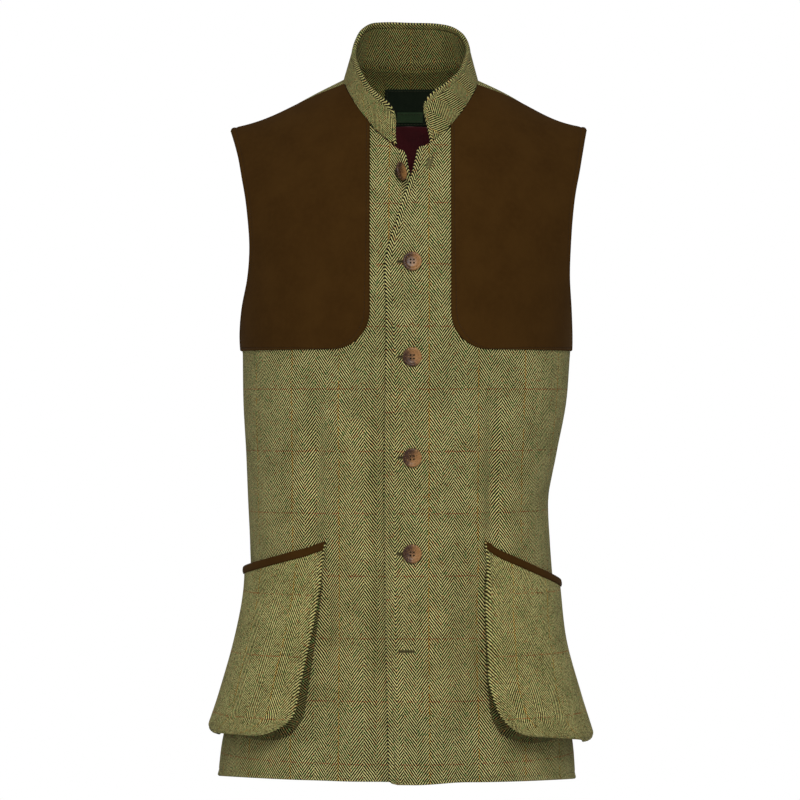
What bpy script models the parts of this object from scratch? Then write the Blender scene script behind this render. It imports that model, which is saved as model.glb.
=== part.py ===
"""A tweed shooting vest in its worn, hollow form: +X to the wearer's left, -Y to the front, +Z up.

The origin lies on the shoulders, midway between the two points where the shoulders meet the collar.
Every cloth piece is read from one body surface, cloth_point(turn, rise). turn goes round the body, from 0
at the centre front through 90 degrees at the wearer's left side to 180 at the centre back. rise is -1 at the
hem, 0 at the foot of the armholes and 1 on the shoulder line. Past 1 the surface comes down the other side.
"""

import math
from typing import NamedTuple

import bmesh
import bpy
import numpy as np
from mathutils import Matrix, Vector

# Cloth, in metres
TWEED = 0.0024
SUEDE = 0.0012
FACING = 0.0012
LINING = 0.0010
COLLAR_WALL = 0.0030
GAP = 0.0004
FACET_GAP = 0.0010
PATCH_GAP = 0.0012
FACING_GAP = 0.0020
LINING_GAP = 0.0027
SIDE_SEAM_GAP = 0.0007
PANEL_GAP = 0.0007
SHOULDER_SEAM_GAP = 0.0017
SIDE_REACH = 0.15

# Heights and the shoulder line
ARM_HEIGHT = -0.302
HEM_HEIGHT = -0.7655
HEM_TILT = -0.008
HEM_FRONT_RISE = 0.0085
SHOULDER_RISE = 0.171
SHOULDER_REACH = 0.190
LEFT_SHOULDER_WAVE = 0.0028
RIGHT_SHOULDER_WAVE = 0.0018
BACK_NECK_RISE = 0.024
BACK_NECK_HALF_WIDTH = 0.095
BACK_NECK_EASE = 0.045
BACK_NECK_DEPTH = 0.035
BACK_NECK_FADE = 0.060
SEAM_FORWARD = 0.024

# How round the body is seen from above, and how the chest closes over the shoulders
SQUARENESS = 2.4
CHEST_RISE = 2.2
CHEST_DEPTH = 1.7

# Neckline, an oval seen from above
NECK_CENTRE = (0.001, -0.010)
NECK_HALF_WIDTH = 0.0735
NECK_FRONT = 0.0865
NECK_BACK = 0.058
COLLAR_END_LEAN = 0.0075
COLLAR_END_LEAN_WIDTH = math.radians(22)
COLLAR_END_FORWARD_SHARE = 0.35
COLLAR_LEAN = 0.0095
COLLAR_FRONT_LEAN_SHARE = 0.25
COLLAR_SEAM_GAP = 0.0017
COLLAR_BACK_LEAN = 0.006
COLLAR_END_RADIUS = 0.016
COLLAR_END_DROP = 0.013
COLLAR_RIGHT_HAND_END = math.radians(-13.5)
COLLAR_LEFT_HAND_END = math.radians(17.5)

# Fronts
OVERLAP_LIFT = TWEED + 0.0009
OVERLAP_LIFT_END = 0.058
OVERLAP_LIFT_EASE = 0.028
OVERLAP_ROLL = 0.0018
OVERLAP_ROLL_WIDTH = 0.016
UNDERLAP_ROLL = 0.0150
UNDERLAP_ROLL_WIDTH = 0.0125
ROLL_FOOT = -0.150
ROLL_EASE = 0.040
ROLL_TOP_SHARE = 0.55
ROLL_TOP = -0.104
ROLL_TOP_EASE = 0.024

# Suede chest patches
PATCH_INNER_EDGE = 0.0435
PATCH_CORNER = 0.040
PATCH_FOOT = 0.006

# Buttons
BUTTON_RADIUS = 0.0102
BUTTON_THICKNESS = 0.0034
BUTTON_BEVEL = 0.0008
BUTTON_GAP = 0.0004
BUTTON_LINE = 0.002
BUTTON_HEIGHTS = (-0.205, -0.306, -0.413, -0.516)
TOP_BUTTON = (-0.0155, -0.107)
TOP_BUTTON_TURN = math.radians(62)
TOP_BUTTON_GAP = 0.0050

# Pockets
POCKET_OUTER_TURN = math.radians(97)
POCKET_SIDEWAYS = 2.5
POCKET_INNER_CORNER = 0.030
POCKET_OUTER_CORNER = 0.013
POCKET_OUTER_LIFT = 0.007
POCKET_OUTER_LIFT_START = 0.85
POCKET_OUTER_CURL = 0.012
POCKET_OUTER_CURL_SHARE = 0.55
POCKET_CROWN = 0.004
POCKET_TOP_GAP = 0.0010
POCKET_INNER_SPREAD = 1.15
POCKET_OUTER_SPREAD = 2.1
TRIM_WIDTH = 0.0066
TRIM_STAND = 0.0012
TRIM_ABOVE = 0.0012
GUSSET_TOP = 0.17
GUSSET_INSET = 0.0024
GUSSET_FLARE = 0.0090
GUSSET_FLARE_START = 0.84
GUSSET_FLARE_END = 0.98
GUSSET_FOLD = 0.006
GUSSET_WALL = 0.0014
GUSSET_CLEARANCE = 0.00245
GUSSET_FOOT = 0.0018
GUSSET_LEAST = 0.0006

# Neck facing and lining, measured in rise and in turn
FACING_HALF_ANGLE = math.radians(68)
FACING_TOP = 0.010
FACING_FOOT = 0.505
LINING_TOP = 0.487
LINING_FOOT = -0.96
LINING_WIDTH = 0.965

# Neck label
LABEL_GAP = 0.0010
LABEL_WIDTH = 0.056
LABEL_TOP = -0.002
LABEL_FOOT = -0.042
TAG_WIDTH = 0.029
TAG_TOP = -0.027
TAG_FOOT = -0.038


class Section(NamedTuple):
    """How far the body reaches from its middle at one height below the armholes."""

    height: float
    right_hand: float
    left_hand: float
    front: float
    back: float


BODY = (
    Section(-0.790, 0.2130, 0.1830, 0.146, 0.148),
    Section(-0.7645, 0.2105, 0.1815, 0.145, 0.147),
    Section(-0.730, 0.2065, 0.1790, 0.143, 0.145),
    Section(-0.680, 0.1945, 0.1700, 0.139, 0.140),
    Section(-0.620, 0.1820, 0.1600, 0.134, 0.133),
    Section(-0.560, 0.1750, 0.1575, 0.130, 0.128),
    Section(-0.510, 0.1757, 0.1538, 0.127, 0.125),
    Section(-0.460, 0.1780, 0.1522, 0.126, 0.124),
    Section(-0.410, 0.1800, 0.1610, 0.1295, 0.1310),
    Section(-0.355, 0.1830, 0.1715, 0.1325, 0.1365),
    Section(-0.302, 0.1837, 0.1757, 0.1332, 0.1380),
)


class Armhole(NamedTuple):
    """The armhole's edge at one share of the way up: its reach, and its cut to the front and the back."""

    share: float
    right_hand: float
    left_hand: float
    front_cut: float
    back_cut: float


ARMHOLE = (
    Armhole(0.000, 0.1837, 0.1757, 0.00, 0.00),
    Armhole(0.063, 0.1845, 0.1757, 0.18, 0.20),
    Armhole(0.194, 0.1820, 0.1742, 0.34, 0.37),
    Armhole(0.325, 0.1756, 0.1722, 0.45, 0.48),
    Armhole(0.456, 0.1734, 0.1732, 0.52, 0.54),
    Armhole(0.587, 0.1756, 0.1755, 0.57, 0.58),
    Armhole(0.718, 0.1803, 0.1800, 0.58, 0.58),
    Armhole(0.849, 0.1865, 0.1865, 0.51, 0.51),
    Armhole(1.000, 0.1965, 0.1935, 0.45, 0.45),
)
BACK_ARMHOLE_SET_IN = 0.004


class FrontEdge(NamedTuple):
    """Where the two free front edges lie at one height."""

    height: float
    overlap: float
    underlap: float


FRONT_EDGES = (
    FrontEdge(-0.800, -0.0215, 0.0270),
    FrontEdge(-0.759, -0.0215, 0.0270),
    FrontEdge(-0.671, -0.0228, 0.0270),
    FrontEdge(-0.480, -0.0250, 0.0270),
    FrontEdge(-0.246, -0.0250, 0.0270),
    FrontEdge(-0.203, -0.0256, 0.0262),
    FrontEdge(-0.182, -0.0213, 0.0240),
    FrontEdge(-0.160, -0.0139, 0.0190),
    FrontEdge(-0.132, -0.0053, 0.0090),
    FrontEdge(-0.114, 0.0011, 0.0018),
    FrontEdge(-0.096, 0.0058, -0.0030),
    FrontEdge(-0.070, 0.0110, -0.0085),
)
OVERLAP_CORNER = 0.0095
UNDERLAP_CORNER = -0.0070


class Rim(NamedTuple):
    """The height of the collar's top edge at one angle of the neckline, in degrees."""

    angle: float
    height: float


COLLAR_RIM = (
    Rim(17.5, -0.0262),
    Rim(30.0, -0.0162),
    Rim(45.0, -0.0026),
    Rim(60.0, 0.0109),
    Rim(75.0, 0.0237),
    Rim(90.0, 0.0338),
    Rim(105.0, 0.0440),
    Rim(120.0, 0.0548),
    Rim(135.0, 0.0616),
    Rim(150.0, 0.0650),
    Rim(180.0, 0.0668),
    Rim(210.0, 0.0666),
    Rim(225.0, 0.0645),
    Rim(240.0, 0.0578),
    Rim(255.0, 0.0450),
    Rim(270.0, 0.0335),
    Rim(285.0, 0.0219),
    Rim(300.0, 0.0080),
    Rim(315.0, -0.0100),
    Rim(330.0, -0.0235),
    Rim(346.5, -0.0360),
)


class Fold(NamedTuple):
    """One long trough in the cloth; face is -1 on the front, 1 on the back. A negative depth is a ridge."""

    face: int
    top_x: float
    top_height: float
    foot_x: float
    foot_height: float
    depth: float
    width: float


FOLDS = (
    Fold(-1, -0.037, -0.270, -0.033, -0.800, 0.0034, 0.011),
    Fold(-1, 0.088, -0.310, 0.090, -0.570, 0.0036, 0.013),
    Fold(-1, -0.098, -0.330, -0.108, -0.560, 0.0030, 0.013),
    Fold(-1, -0.078, -0.540, -0.100, -0.800, 0.0040, 0.018),
    Fold(-1, 0.062, -0.520, 0.060, -0.800, 0.0040, 0.017),
    Fold(-1, -0.060, -0.600, -0.066, -0.800, -0.0030, 0.018),
    Fold(1, -0.085, -0.180, -0.075, -0.700, 0.0040, 0.020),
    Fold(1, 0.095, -0.240, 0.070, -0.780, 0.0045, 0.022),
    Fold(1, 0.010, -0.380, 0.000, -0.800, -0.0035, 0.026),
)


class Pocket(NamedTuple):
    """One bellows pocket; side is -1 on the wearer's right, and the places are those of its outer panel."""

    side: int
    inner_top: float
    inner_foot: float
    top_inner_height: float
    top_outer_height: float
    foot_inner_height: float
    foot_outer_height: float
    top_stand_outer: float
    foot_stand_inner: float
    foot_stand_outer: float


POCKETS = (
    Pocket(-1, -0.0905, -0.1190, -0.5095, -0.5375, -0.7215, -0.7220, 0.0078, 0.033, 0.0150),
    Pocket(1, 0.0800, 0.0890, -0.5085, -0.5510, -0.7195, -0.7280, 0.0085, 0.033, 0.023),
)
POCKET_TOP_STAND = TWEED + POCKET_TOP_GAP

# The large panels stand as simpler ones, parted at these rows and columns of their grids
TIERS = ("skirt", "waist", "chest")
FRONT_CUTS = (0, 5, 13, 24)
BACK_CUTS = (0, 5, 13, 27)
BACK_COLUMNS = 28

# How the grids share their columns between the neckline and the shoulder seams
FRONT_NECK_SHARE = 0.45
BACK_SEAM_SHARE = 0.22
PATCH_NECK_SHARE = 0.3

COLLECTION = "shooting_vest"
HALVINGS = 40


def start():
    for old in list(bpy.data.objects):
        bpy.data.objects.remove(old, do_unlink=True)
    parts = bpy.data.collections.new(COLLECTION)
    bpy.context.scene.collection.children.link(parts)
    return parts


def material(name, colour, roughness):
    made = bpy.data.materials.new(name)
    made.use_nodes = True
    shader = made.node_tree.nodes["Principled BSDF"]
    shader.inputs["Base Color"].default_value = (*colour, 1.0)
    shader.inputs["Roughness"].default_value = roughness
    shader.inputs["Metallic"].default_value = 0.0
    return made


def ease(share):
    share = np.clip(share, 0.0, 1.0)
    return share * share * (3.0 - 2.0 * share)


def through(places, values, at):
    """A smooth curve through the rows of a table, read at some places."""
    places = np.asarray(places, float)
    values = np.asarray(values, float)
    slopes = np.gradient(values, places)
    at = np.clip(at, places[0], places[-1])
    row = np.clip(np.searchsorted(places, at) - 1, 0, len(places) - 2)
    span = places[row + 1] - places[row]
    t = (at - places[row]) / span
    start_part = (1 + 2 * t) * (1 - t) ** 2 * values[row] + t * (1 - t) ** 2 * span * slopes[row]
    end_part = t * t * (3 - 2 * t) * values[row + 1] + t * t * (t - 1) * span * slopes[row + 1]
    return start_part + end_part


def column(table, name):
    return [getattr(row, name) for row in table]


def from_body(name, height):
    return through(column(BODY, "height"), column(BODY, name), height)


def from_edges(name, height):
    return through(column(FRONT_EDGES, "height"), column(FRONT_EDGES, name), height)


def across(cut):
    """The sideways share of a unit section where its forward share is cut, and the other way round."""
    return (1.0 - np.clip(np.abs(cut), 0.0, 1.0) ** SQUARENESS) ** (1.0 / SQUARENESS)


def section_reach(side, face, share):
    """Half the width of the upper body's section, from the armhole's reach and cut there."""
    hand = "left_hand" if side > 0 else "right_hand"
    cut = "front_cut" if face < 0 else "back_cut"
    reaches = np.array(column(ARMHOLE, hand))
    if face > 0:
        reaches[1:-1] -= BACK_ARMHOLE_SET_IN
    widths = reaches / across(np.array(column(ARMHOLE, cut)))
    return through(column(ARMHOLE, "share"), widths, share)


def armhole_turn(side, face, share):
    """The turn of the armhole's edge, for the front or the back, at a share of the way up."""
    cut = "front_cut" if face < 0 else "back_cut"
    roots = np.sqrt(column(ARMHOLE, "share"))
    forward = through(roots, column(ARMHOLE, cut), np.sqrt(share))
    turn = np.arctan2(across(forward), forward)
    return side * (turn if face < 0 else math.pi - turn)


def shoulder_height(x):
    """The shoulder line, rounded over between the two sides of the neck."""
    at_neck = math.exp(-NECK_HALF_WIDTH / SHOULDER_REACH)
    out = np.maximum(np.abs(x), NECK_HALF_WIDTH)
    inside = NECK_HALF_WIDTH**2 - np.minimum(np.abs(x), NECK_HALF_WIDTH) ** 2
    steepness = SHOULDER_RISE * at_neck / SHOULDER_REACH
    along = np.clip((out - NECK_HALF_WIDTH) / (ARMHOLE[-1].left_hand - NECK_HALF_WIDTH), 0.0, 1.0)
    wave = np.where(x > 0, LEFT_SHOULDER_WAVE, RIGHT_SHOULDER_WAVE) * np.sin(2 * math.pi * along)
    slope = SHOULDER_RISE * (np.exp(-out / SHOULDER_REACH) - at_neck)
    return slope + wave + steepness * inside / (2 * NECK_HALF_WIDTH)


def back_neck_height(x, y):
    """How much higher than the chest's curve the cloth stands at the back of the neck."""
    near = ease((BACK_NECK_HALF_WIDTH - np.abs(x)) / BACK_NECK_EASE)
    return BACK_NECK_RISE * near * ease(y / BACK_NECK_DEPTH) * (1.0 - ease((y - NECK_BACK) / BACK_NECK_FADE))


def share_of_rise(rise):
    """How far up the armhole's height a rise between 0 and 2 is."""
    angle = np.clip(rise, 0.0, 2.0) * math.pi / 2
    return np.abs(np.sin(angle)) ** (2.0 / CHEST_RISE)


def depth_of_rise(rise):
    """The share of the chest's depth that is left at a rise; it is negative past the shoulder line."""
    cosine = np.cos(np.clip(rise, 0.0, 2.0) * math.pi / 2)
    return np.sign(cosine) * np.abs(cosine) ** (2.0 / CHEST_DEPTH)


def fold_depth(face, x, height):
    """How far the folds push the cloth in at a place."""
    pushed = np.zeros_like(x)
    for fold in FOLDS:
        down = (fold.top_height - height) / (fold.top_height - fold.foot_height)
        middle = fold.top_x + (fold.foot_x - fold.top_x) * down
        strength = ease(down / 0.25) * ease((1.0 - down) / 0.20)
        shape = np.exp(-(((x - middle) / fold.width) ** 2))
        pushed += np.where(face == fold.face, fold.depth * strength * shape, 0.0)
    return pushed


def smooth_point(turn, rise):
    """The body's surface before any fold."""
    sine, cosine = np.sin(turn), np.cos(turn)
    size = (np.abs(sine) ** SQUARENESS + np.abs(cosine) ** SQUARENESS) ** (-1.0 / SQUARENESS)
    sideways, forward = sine * size, cosine * size
    share, left = share_of_rise(rise), depth_of_rise(rise)
    face = np.where(forward * left > 0, -1, 1)
    body_height = ARM_HEIGHT + np.minimum(rise, 0.0) * (ARM_HEIGHT - HEM_HEIGHT)
    lower = np.where(sideways > 0, from_body("left_hand", body_height), from_body("right_hand", body_height))
    upper_left = np.where(face < 0, section_reach(1, -1, share), section_reach(1, 1, share))
    upper_right = np.where(face < 0, section_reach(-1, -1, share), section_reach(-1, 1, share))
    upper = np.where(sideways > 0, upper_left, upper_right)
    x = sideways * np.where(rise > 0, upper, lower)
    deep = np.where(face < 0, from_body("front", body_height), from_body("back", body_height))
    y = -forward * left * deep
    hem = HEM_HEIGHT + HEM_TILT * x + HEM_FRONT_RISE * np.sin(np.clip(-y / deep, 0.0, 1.0) * math.pi / 2)
    below = ARM_HEIGHT + np.minimum(rise, 0.0) * (ARM_HEIGHT - hem)
    above = ARM_HEIGHT + share * (shoulder_height(x) - ARM_HEIGHT) + back_neck_height(x, y)
    return np.stack([x, y, np.where(rise > 0, above, below)], axis=-1)


def directions(make, turn, rise):
    """The outward direction of a surface, from its two tangents."""
    step = 1e-4
    along = make(turn + step, rise) - make(turn - step, rise)
    upward = make(turn, rise + step) - make(turn, rise - step)
    outward = np.cross(along, upward)
    length = np.linalg.norm(outward, axis=-1, keepdims=True)
    return outward / np.maximum(length, 1e-15)


def folded_point(turn, rise):
    point = smooth_point(turn, rise)
    face = np.where(point[..., 1] < 0, -1, 1)
    pushed = fold_depth(face, point[..., 0], point[..., 2])
    return point - directions(smooth_point, turn, rise) * pushed[..., None]


def cloth_point(turn, rise, stand=0.0):
    """A point on the folded cloth, or standing off it."""
    turn, rise = np.broadcast_arrays(np.asarray(turn, float), np.asarray(rise, float))
    point = folded_point(turn, rise)
    stand = np.broadcast_to(np.asarray(stand, float), turn.shape)
    return point + directions(folded_point, turn, rise) * stand[..., None]


def turn_at(x, face, rise):
    """The turn at which the front or the back passes a given x."""
    share = share_of_rise(rise)
    body_height = ARM_HEIGHT + np.minimum(rise, 0.0) * (ARM_HEIGHT - HEM_HEIGHT)
    lower = np.where(x > 0, from_body("left_hand", body_height), from_body("right_hand", body_height))
    front = np.where(x > 0, section_reach(1, -1, share), section_reach(-1, -1, share))
    back = np.where(x > 0, section_reach(1, 1, share), section_reach(-1, 1, share))
    upper = np.where(face < 0, front, back)
    sideways = np.clip(np.abs(x) / np.where(rise > 0, upper, lower), 0.0, 1.0)
    turn = np.sign(x) * np.arctan2(sideways, across(sideways))
    return np.where(face < 0, turn, math.pi - turn)


def rise_at(x, face, height):
    """The rise at which the front or the back passes a height at a given x."""
    low, high = np.full_like(x, -1.0), np.full_like(x, 1.0)
    for _ in range(HALVINGS):
        middle = (low + high) / 2
        below = smooth_point(turn_at(x, face, middle), middle)[..., 2] < height
        low, high = np.where(below, middle, low), np.where(below, high, middle)
    return (low + high) / 2


def places_seen_from_above(x, y):
    """The turns and rises, read on the back panel, of the surface above some points of the plan."""
    face = np.where(y < 0, -1, 1)
    low, high = np.zeros_like(x), np.ones_like(x)
    for _ in range(HALVINGS):
        middle = (low + high) / 2
        depth = np.abs(smooth_point(turn_at(x, face, middle), middle)[..., 1])
        low = np.where(depth > np.abs(y), middle, low)
        high = np.where(depth > np.abs(y), high, middle)
    rise = (low + high) / 2
    turn = turn_at(x, face, rise)
    turn = np.where(face < 0, math.pi - turn, turn)
    return np.stack([turn, np.where(face < 0, 2.0 - rise, rise)], axis=-1)


def neck_plan(angle):
    """The neckline's oval from above; the angle is 0 at the centre front and runs to the wearer's left."""
    depth = np.where(np.cos(angle) > 0, NECK_FRONT, NECK_BACK)
    return NECK_CENTRE[0] + NECK_HALF_WIDTH * np.sin(angle), NECK_CENTRE[1] - depth * np.cos(angle)


def on_front(places):
    """The same places read on a front instead of the back."""
    return np.array([math.pi, 2.0]) - places


def seam_angle():
    """The angle of the neckline at which the shoulder seam meets it."""
    return math.acos((SEAM_FORWARD + NECK_CENTRE[1]) / NECK_FRONT)


def shoulder_seam(side, steps, forward=0.0):
    """Places along the shoulder seam from the neck to the tip, on the back panel."""
    tip = ARMHOLE[-1].left_hand if side > 0 else ARMHOLE[-1].right_hand
    neck_x, neck_y = neck_plan(side * seam_angle())
    share = np.linspace(0, 1, steps + 1)
    x = neck_x + (side * tip - neck_x) * share
    y = np.minimum(neck_y * (1.0 - share) ** 1.2, -1e-6) - forward
    return places_seen_from_above(x, y)


def neckline(first, last, steps):
    """Places along the neckline between two angles, on the back panel."""
    return places_seen_from_above(*neck_plan(np.linspace(first, last, steps + 1)))


def blended(bottom, top, inner, outer):
    """Fills in the places between four edges, given as lists of (turn, rise)."""
    bottom, top, inner, outer = (np.array(edge, float) for edge in (bottom, top, inner, outer))
    u = np.linspace(0, 1, len(bottom))[None, :, None]
    v = np.linspace(0, 1, len(inner))[:, None, None]
    ends = (1 - v) * bottom[None] + v * top[None] + (1 - u) * inner[:, None] + u * outer[:, None]
    low = (1 - u) * bottom[0] + u * bottom[-1]
    high = (1 - u) * top[0] + u * top[-1]
    return ends - (1 - v) * low - v * high


def sheet(parts, name, points, wall, look, flip=False):
    """A cloth piece: an open grid of points with its wall on the inner side."""
    rows, columns = points.shape[:2]
    bm = bmesh.new()
    grid = [[bm.verts.new(points[i, j]) for j in range(columns)] for i in range(rows)]
    for i in range(rows - 1):
        for j in range(columns - 1):
            corners = [grid[i][j], grid[i][j + 1], grid[i + 1][j + 1], grid[i + 1][j]]
            bm.faces.new(corners[::-1] if flip else corners)
    mesh = bpy.data.meshes.new(name)
    bm.to_mesh(mesh)
    bm.free()
    mesh.shade_smooth()
    mesh.set_sharp_from_angle(angle=math.radians(50))
    piece = bpy.data.objects.new(name, mesh)
    parts.objects.link(piece)
    piece.data.materials.append(look)
    shell = piece.modifiers.new("wall", "SOLIDIFY")
    shell.thickness = wall
    shell.offset = -1.0
    return piece


def drawn_back(points, low, high):
    """The rows of a grid between two cuts, drawn back from each cut by half the panels' gap."""
    rows = points[low : high + 1].copy()
    for at_cut, edge, inside in ((low > 0, 0, 1), (high < len(points) - 1, -1, -2)):
        if at_cut:
            way = rows[inside] - rows[edge]
            rows[edge] += way / np.linalg.norm(way, axis=-1, keepdims=True) * PANEL_GAP / 2
    return rows


def side_turn(side, face):
    """The side seam's turn, drawn back by half the seam's gap."""
    half = SIDE_SEAM_GAP / 2 / SIDE_REACH
    return side * (math.pi / 2 + (half if face > 0 else -half))


def front_places(side, columns, low_rows, high_rows):
    """The grid of one front, from the hem to the neckline and the shoulder seam."""
    edge, corner = ("overlap", OVERLAP_CORNER) if side > 0 else ("underlap", UNDERLAP_CORNER)
    low = []
    for rise in np.linspace(-1, 0, low_rows + 1):
        height = ARM_HEIGHT + rise * (ARM_HEIGHT - HEM_HEIGHT)
        inner = float(turn_at(from_edges(edge, height), -1, np.array(rise)))
        turns = np.linspace(inner, side_turn(side, -1), columns + 1)
        low.append([(turn, rise) for turn in turns])
    corner_angle = math.asin((corner - NECK_CENTRE[0]) / NECK_HALF_WIDTH)
    neck_columns = round(columns * FRONT_NECK_SHARE)
    seam_at = side * seam_angle()
    neck = neckline(corner_angle, seam_at, neck_columns)
    seam = shoulder_seam(side, columns - neck_columns, SHOULDER_SEAM_GAP)
    top = on_front(np.concatenate([neck[:-1], seam]))
    spread = np.linspace(0, 1, high_rows + 1) ** 1.35
    inner = []
    for rise in spread * top[0][1]:
        height = smooth_point(np.array(top[0][0]), np.array(rise))[2]
        inner.append((float(turn_at(from_edges(edge, height), -1, np.array(rise))), rise))
    inner[-1] = top[0]
    outer = armhole_edge(side, -1, spread * top[-1][1])
    outer[-1] = top[-1]
    high = blended(low[-1], top, inner, outer)
    return np.concatenate([np.array(low), high[1:]])


def armhole_edge(side, face, rises):
    shares = share_of_rise(rises)
    turns = armhole_turn(side, face, shares)
    seam = side_turn(side, face)
    turns = np.minimum(turns, seam) if side * face < 0 else np.maximum(turns, seam)
    return list(zip(turns, rises))


def lift_of_overlap(x):
    return OVERLAP_LIFT * ease((OVERLAP_LIFT_END - x) / OVERLAP_LIFT_EASE)


def roll_of_neck_edge(side, x, height):
    """How far the unbuttoned top corner of a front rolls in along its free edge."""
    name, depth, width = ("overlap", OVERLAP_ROLL, OVERLAP_ROLL_WIDTH)
    if side < 0:
        name, depth, width = ("underlap", UNDERLAP_ROLL, UNDERLAP_ROLL_WIDTH)
    near = np.exp(-(((x - from_edges(name, height)) / width) ** 2))
    held = 1.0 - ROLL_TOP_SHARE * ease((height - ROLL_TOP) / ROLL_TOP_EASE)
    return depth * near * held * ease((height - ROLL_FOOT) / ROLL_EASE)


def front_stand(side, places):
    """How far a front's outer face stands off the body's surface."""
    point = smooth_point(places[..., 0], places[..., 1])
    rolled = -roll_of_neck_edge(side, point[..., 0], point[..., 2])
    if side > 0:
        return lift_of_overlap(point[..., 0]) + rolled
    return rolled


def build_fronts(parts, tweed):
    for side, name in ((1, "front_overlap"), (-1, "front_underlap")):
        places = front_places(side, 20, 11, 13)
        points = cloth_point(places[..., 0], places[..., 1], front_stand(side, places))
        for tier, low, high in zip(TIERS, FRONT_CUTS[:-1], FRONT_CUTS[1:]):
            sheet(parts, f"{name}_{tier}", drawn_back(points, low, high), TWEED, tweed, flip=side < 0)


def back_places(columns, low_rows, high_rows):
    """The grid of the back, from its left-hand side seam round to the right-hand one."""
    low = []
    for rise in np.linspace(-1, 0, low_rows + 1):
        turns = np.linspace(side_turn(1, 1), side_turn(-1, 1) + 2 * math.pi, columns + 1)
        low.append([(turn, rise) for turn in turns])
    seam_columns = round(columns * BACK_SEAM_SHARE)
    seam_at = seam_angle()
    left = shoulder_seam(1, seam_columns)[::-1]
    neck = neckline(seam_at, 2 * math.pi - seam_at, columns - 2 * seam_columns)
    right = shoulder_seam(-1, seam_columns)
    top = np.concatenate([left, neck[1:], right[1:]])
    top[:, 0] %= 2 * math.pi
    spread = np.linspace(0, 1, high_rows + 1)
    spread = 0.45 * spread + 0.55 * ease(spread)
    inner = armhole_edge(1, 1, spread * top[0][1])
    outer = [(turn + 2 * math.pi, rise) for turn, rise in armhole_edge(-1, 1, spread * top[-1][1])]
    top[0] = inner[-1]
    top[-1] = outer[-1]
    high = blended(low[-1], top, inner, outer)
    return np.concatenate([np.array(low), high[1:]])


def build_back(parts, tweed):
    places = back_places(BACK_COLUMNS, 10, 17)
    points = cloth_point(places[..., 0], places[..., 1])
    middle = BACK_COLUMNS // 2
    for tier, low, high in zip(TIERS, BACK_CUTS[:-1], BACK_CUTS[1:]):
        across_tier = drawn_back(points, low, high).transpose(1, 0, 2)
        for hand, first, last in (("left", 0, middle), ("right", middle, BACK_COLUMNS)):
            half = drawn_back(across_tier, first, last).transpose(1, 0, 2)
            sheet(parts, f"back_{hand}_{tier}", half, TWEED, tweed)


def collar_points(angles, shares):
    """The collar's outer face, a row for each share of its height."""
    places = places_seen_from_above(*neck_plan(angles))
    foot = smooth_point(places[:, 0], places[:, 1])[None]
    from_end = np.minimum(angles - angles[0], angles[-1] - angles) * NECK_HALF_WIDTH
    end_cut = corner_cut(from_end, COLLAR_END_RADIUS) / COLLAR_END_RADIUS
    rim = through(column(COLLAR_RIM, "angle"), column(COLLAR_RIM, "height"), np.degrees(angles))
    full = rim - foot[0, :, 2] - COLLAR_SEAM_GAP - COLLAR_END_DROP * end_cut
    to_back = np.maximum(-np.cos(angles), 0.0) ** 2
    to_side = COLLAR_FRONT_LEAN_SHARE + (1.0 - COLLAR_FRONT_LEAN_SHARE) * np.sin(angles) ** 2
    lean = COLLAR_LEAN * to_side + COLLAR_BACK_LEAN * to_back
    end_lean = COLLAR_END_LEAN * np.exp(-(((angles - COLLAR_LEFT_HAND_END) / COLLAR_END_LEAN_WIDTH) ** 2))
    up, lean, end_lean = (values[None] * shares[:, None] for values in (full, lean, end_lean))
    x = foot[..., 0] - lean * np.sin(angles) - end_lean
    y = foot[..., 1] + lean * np.cos(angles) - COLLAR_END_FORWARD_SHARE * end_lean
    return np.stack([x, y, foot[..., 2] + COLLAR_SEAM_GAP + up], axis=-1)


def build_collar(parts, tweed):
    first, last = COLLAR_LEFT_HAND_END, 2 * math.pi + COLLAR_RIGHT_HAND_END
    points = collar_points(np.linspace(first, last, 49), np.linspace(0, 1, 6))
    sheet(parts, "collar", points, COLLAR_WALL, tweed)


def build_patches(parts, suede):
    for side, name in ((1, "shoulder_patch_left"), (-1, "shoulder_patch_right")):
        places = patch_places(side, 12, 16)
        stand = front_stand(side, places) + PATCH_GAP + SUEDE
        points = cloth_point(places[..., 0], places[..., 1], stand)
        sheet(parts, name, points, SUEDE, suede, flip=side < 0)


def patch_places(side, columns, rows):
    """The grid of one suede patch, from its foot under the arm to the shoulder seam."""
    neck_columns = round(columns * PATCH_NECK_SHARE)
    inner_angle = side * math.asin((PATCH_INNER_EDGE - side * NECK_CENTRE[0]) / NECK_HALF_WIDTH)
    neck = neckline(inner_angle, side * seam_angle(), neck_columns)
    seam = shoulder_seam(side, columns - neck_columns, SHOULDER_SEAM_GAP)
    top = on_front(np.concatenate([neck[:-1], seam]))
    spread = np.linspace(0, 1, rows + 1) ** 1.5
    rises = PATCH_FOOT + spread * (top[0][1] - PATCH_FOOT)
    inner = []
    for rise in rises:
        low = smooth_point(np.array(side * 0.3), np.array(PATCH_FOOT))[2]
        height = float(smooth_point(np.array(side * 0.3), np.array(rise))[2] - low)
        cut = PATCH_CORNER - math.sqrt(max(PATCH_CORNER**2 - max(PATCH_CORNER - height, 0.0) ** 2, 0.0))
        x = side * (PATCH_INNER_EDGE + cut)
        inner.append((float(turn_at(np.array(x), -1, np.array(rise))), rise))
    inner[-1] = top[0]
    outer_rises = PATCH_FOOT + spread * (top[-1][1] - PATCH_FOOT)
    outer = armhole_edge(side, -1, outer_rises)
    top[-1] = outer[-1]
    bottom = np.linspace(inner[0], outer[0], columns + 1)
    return blended(bottom, top, inner, outer)


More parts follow.
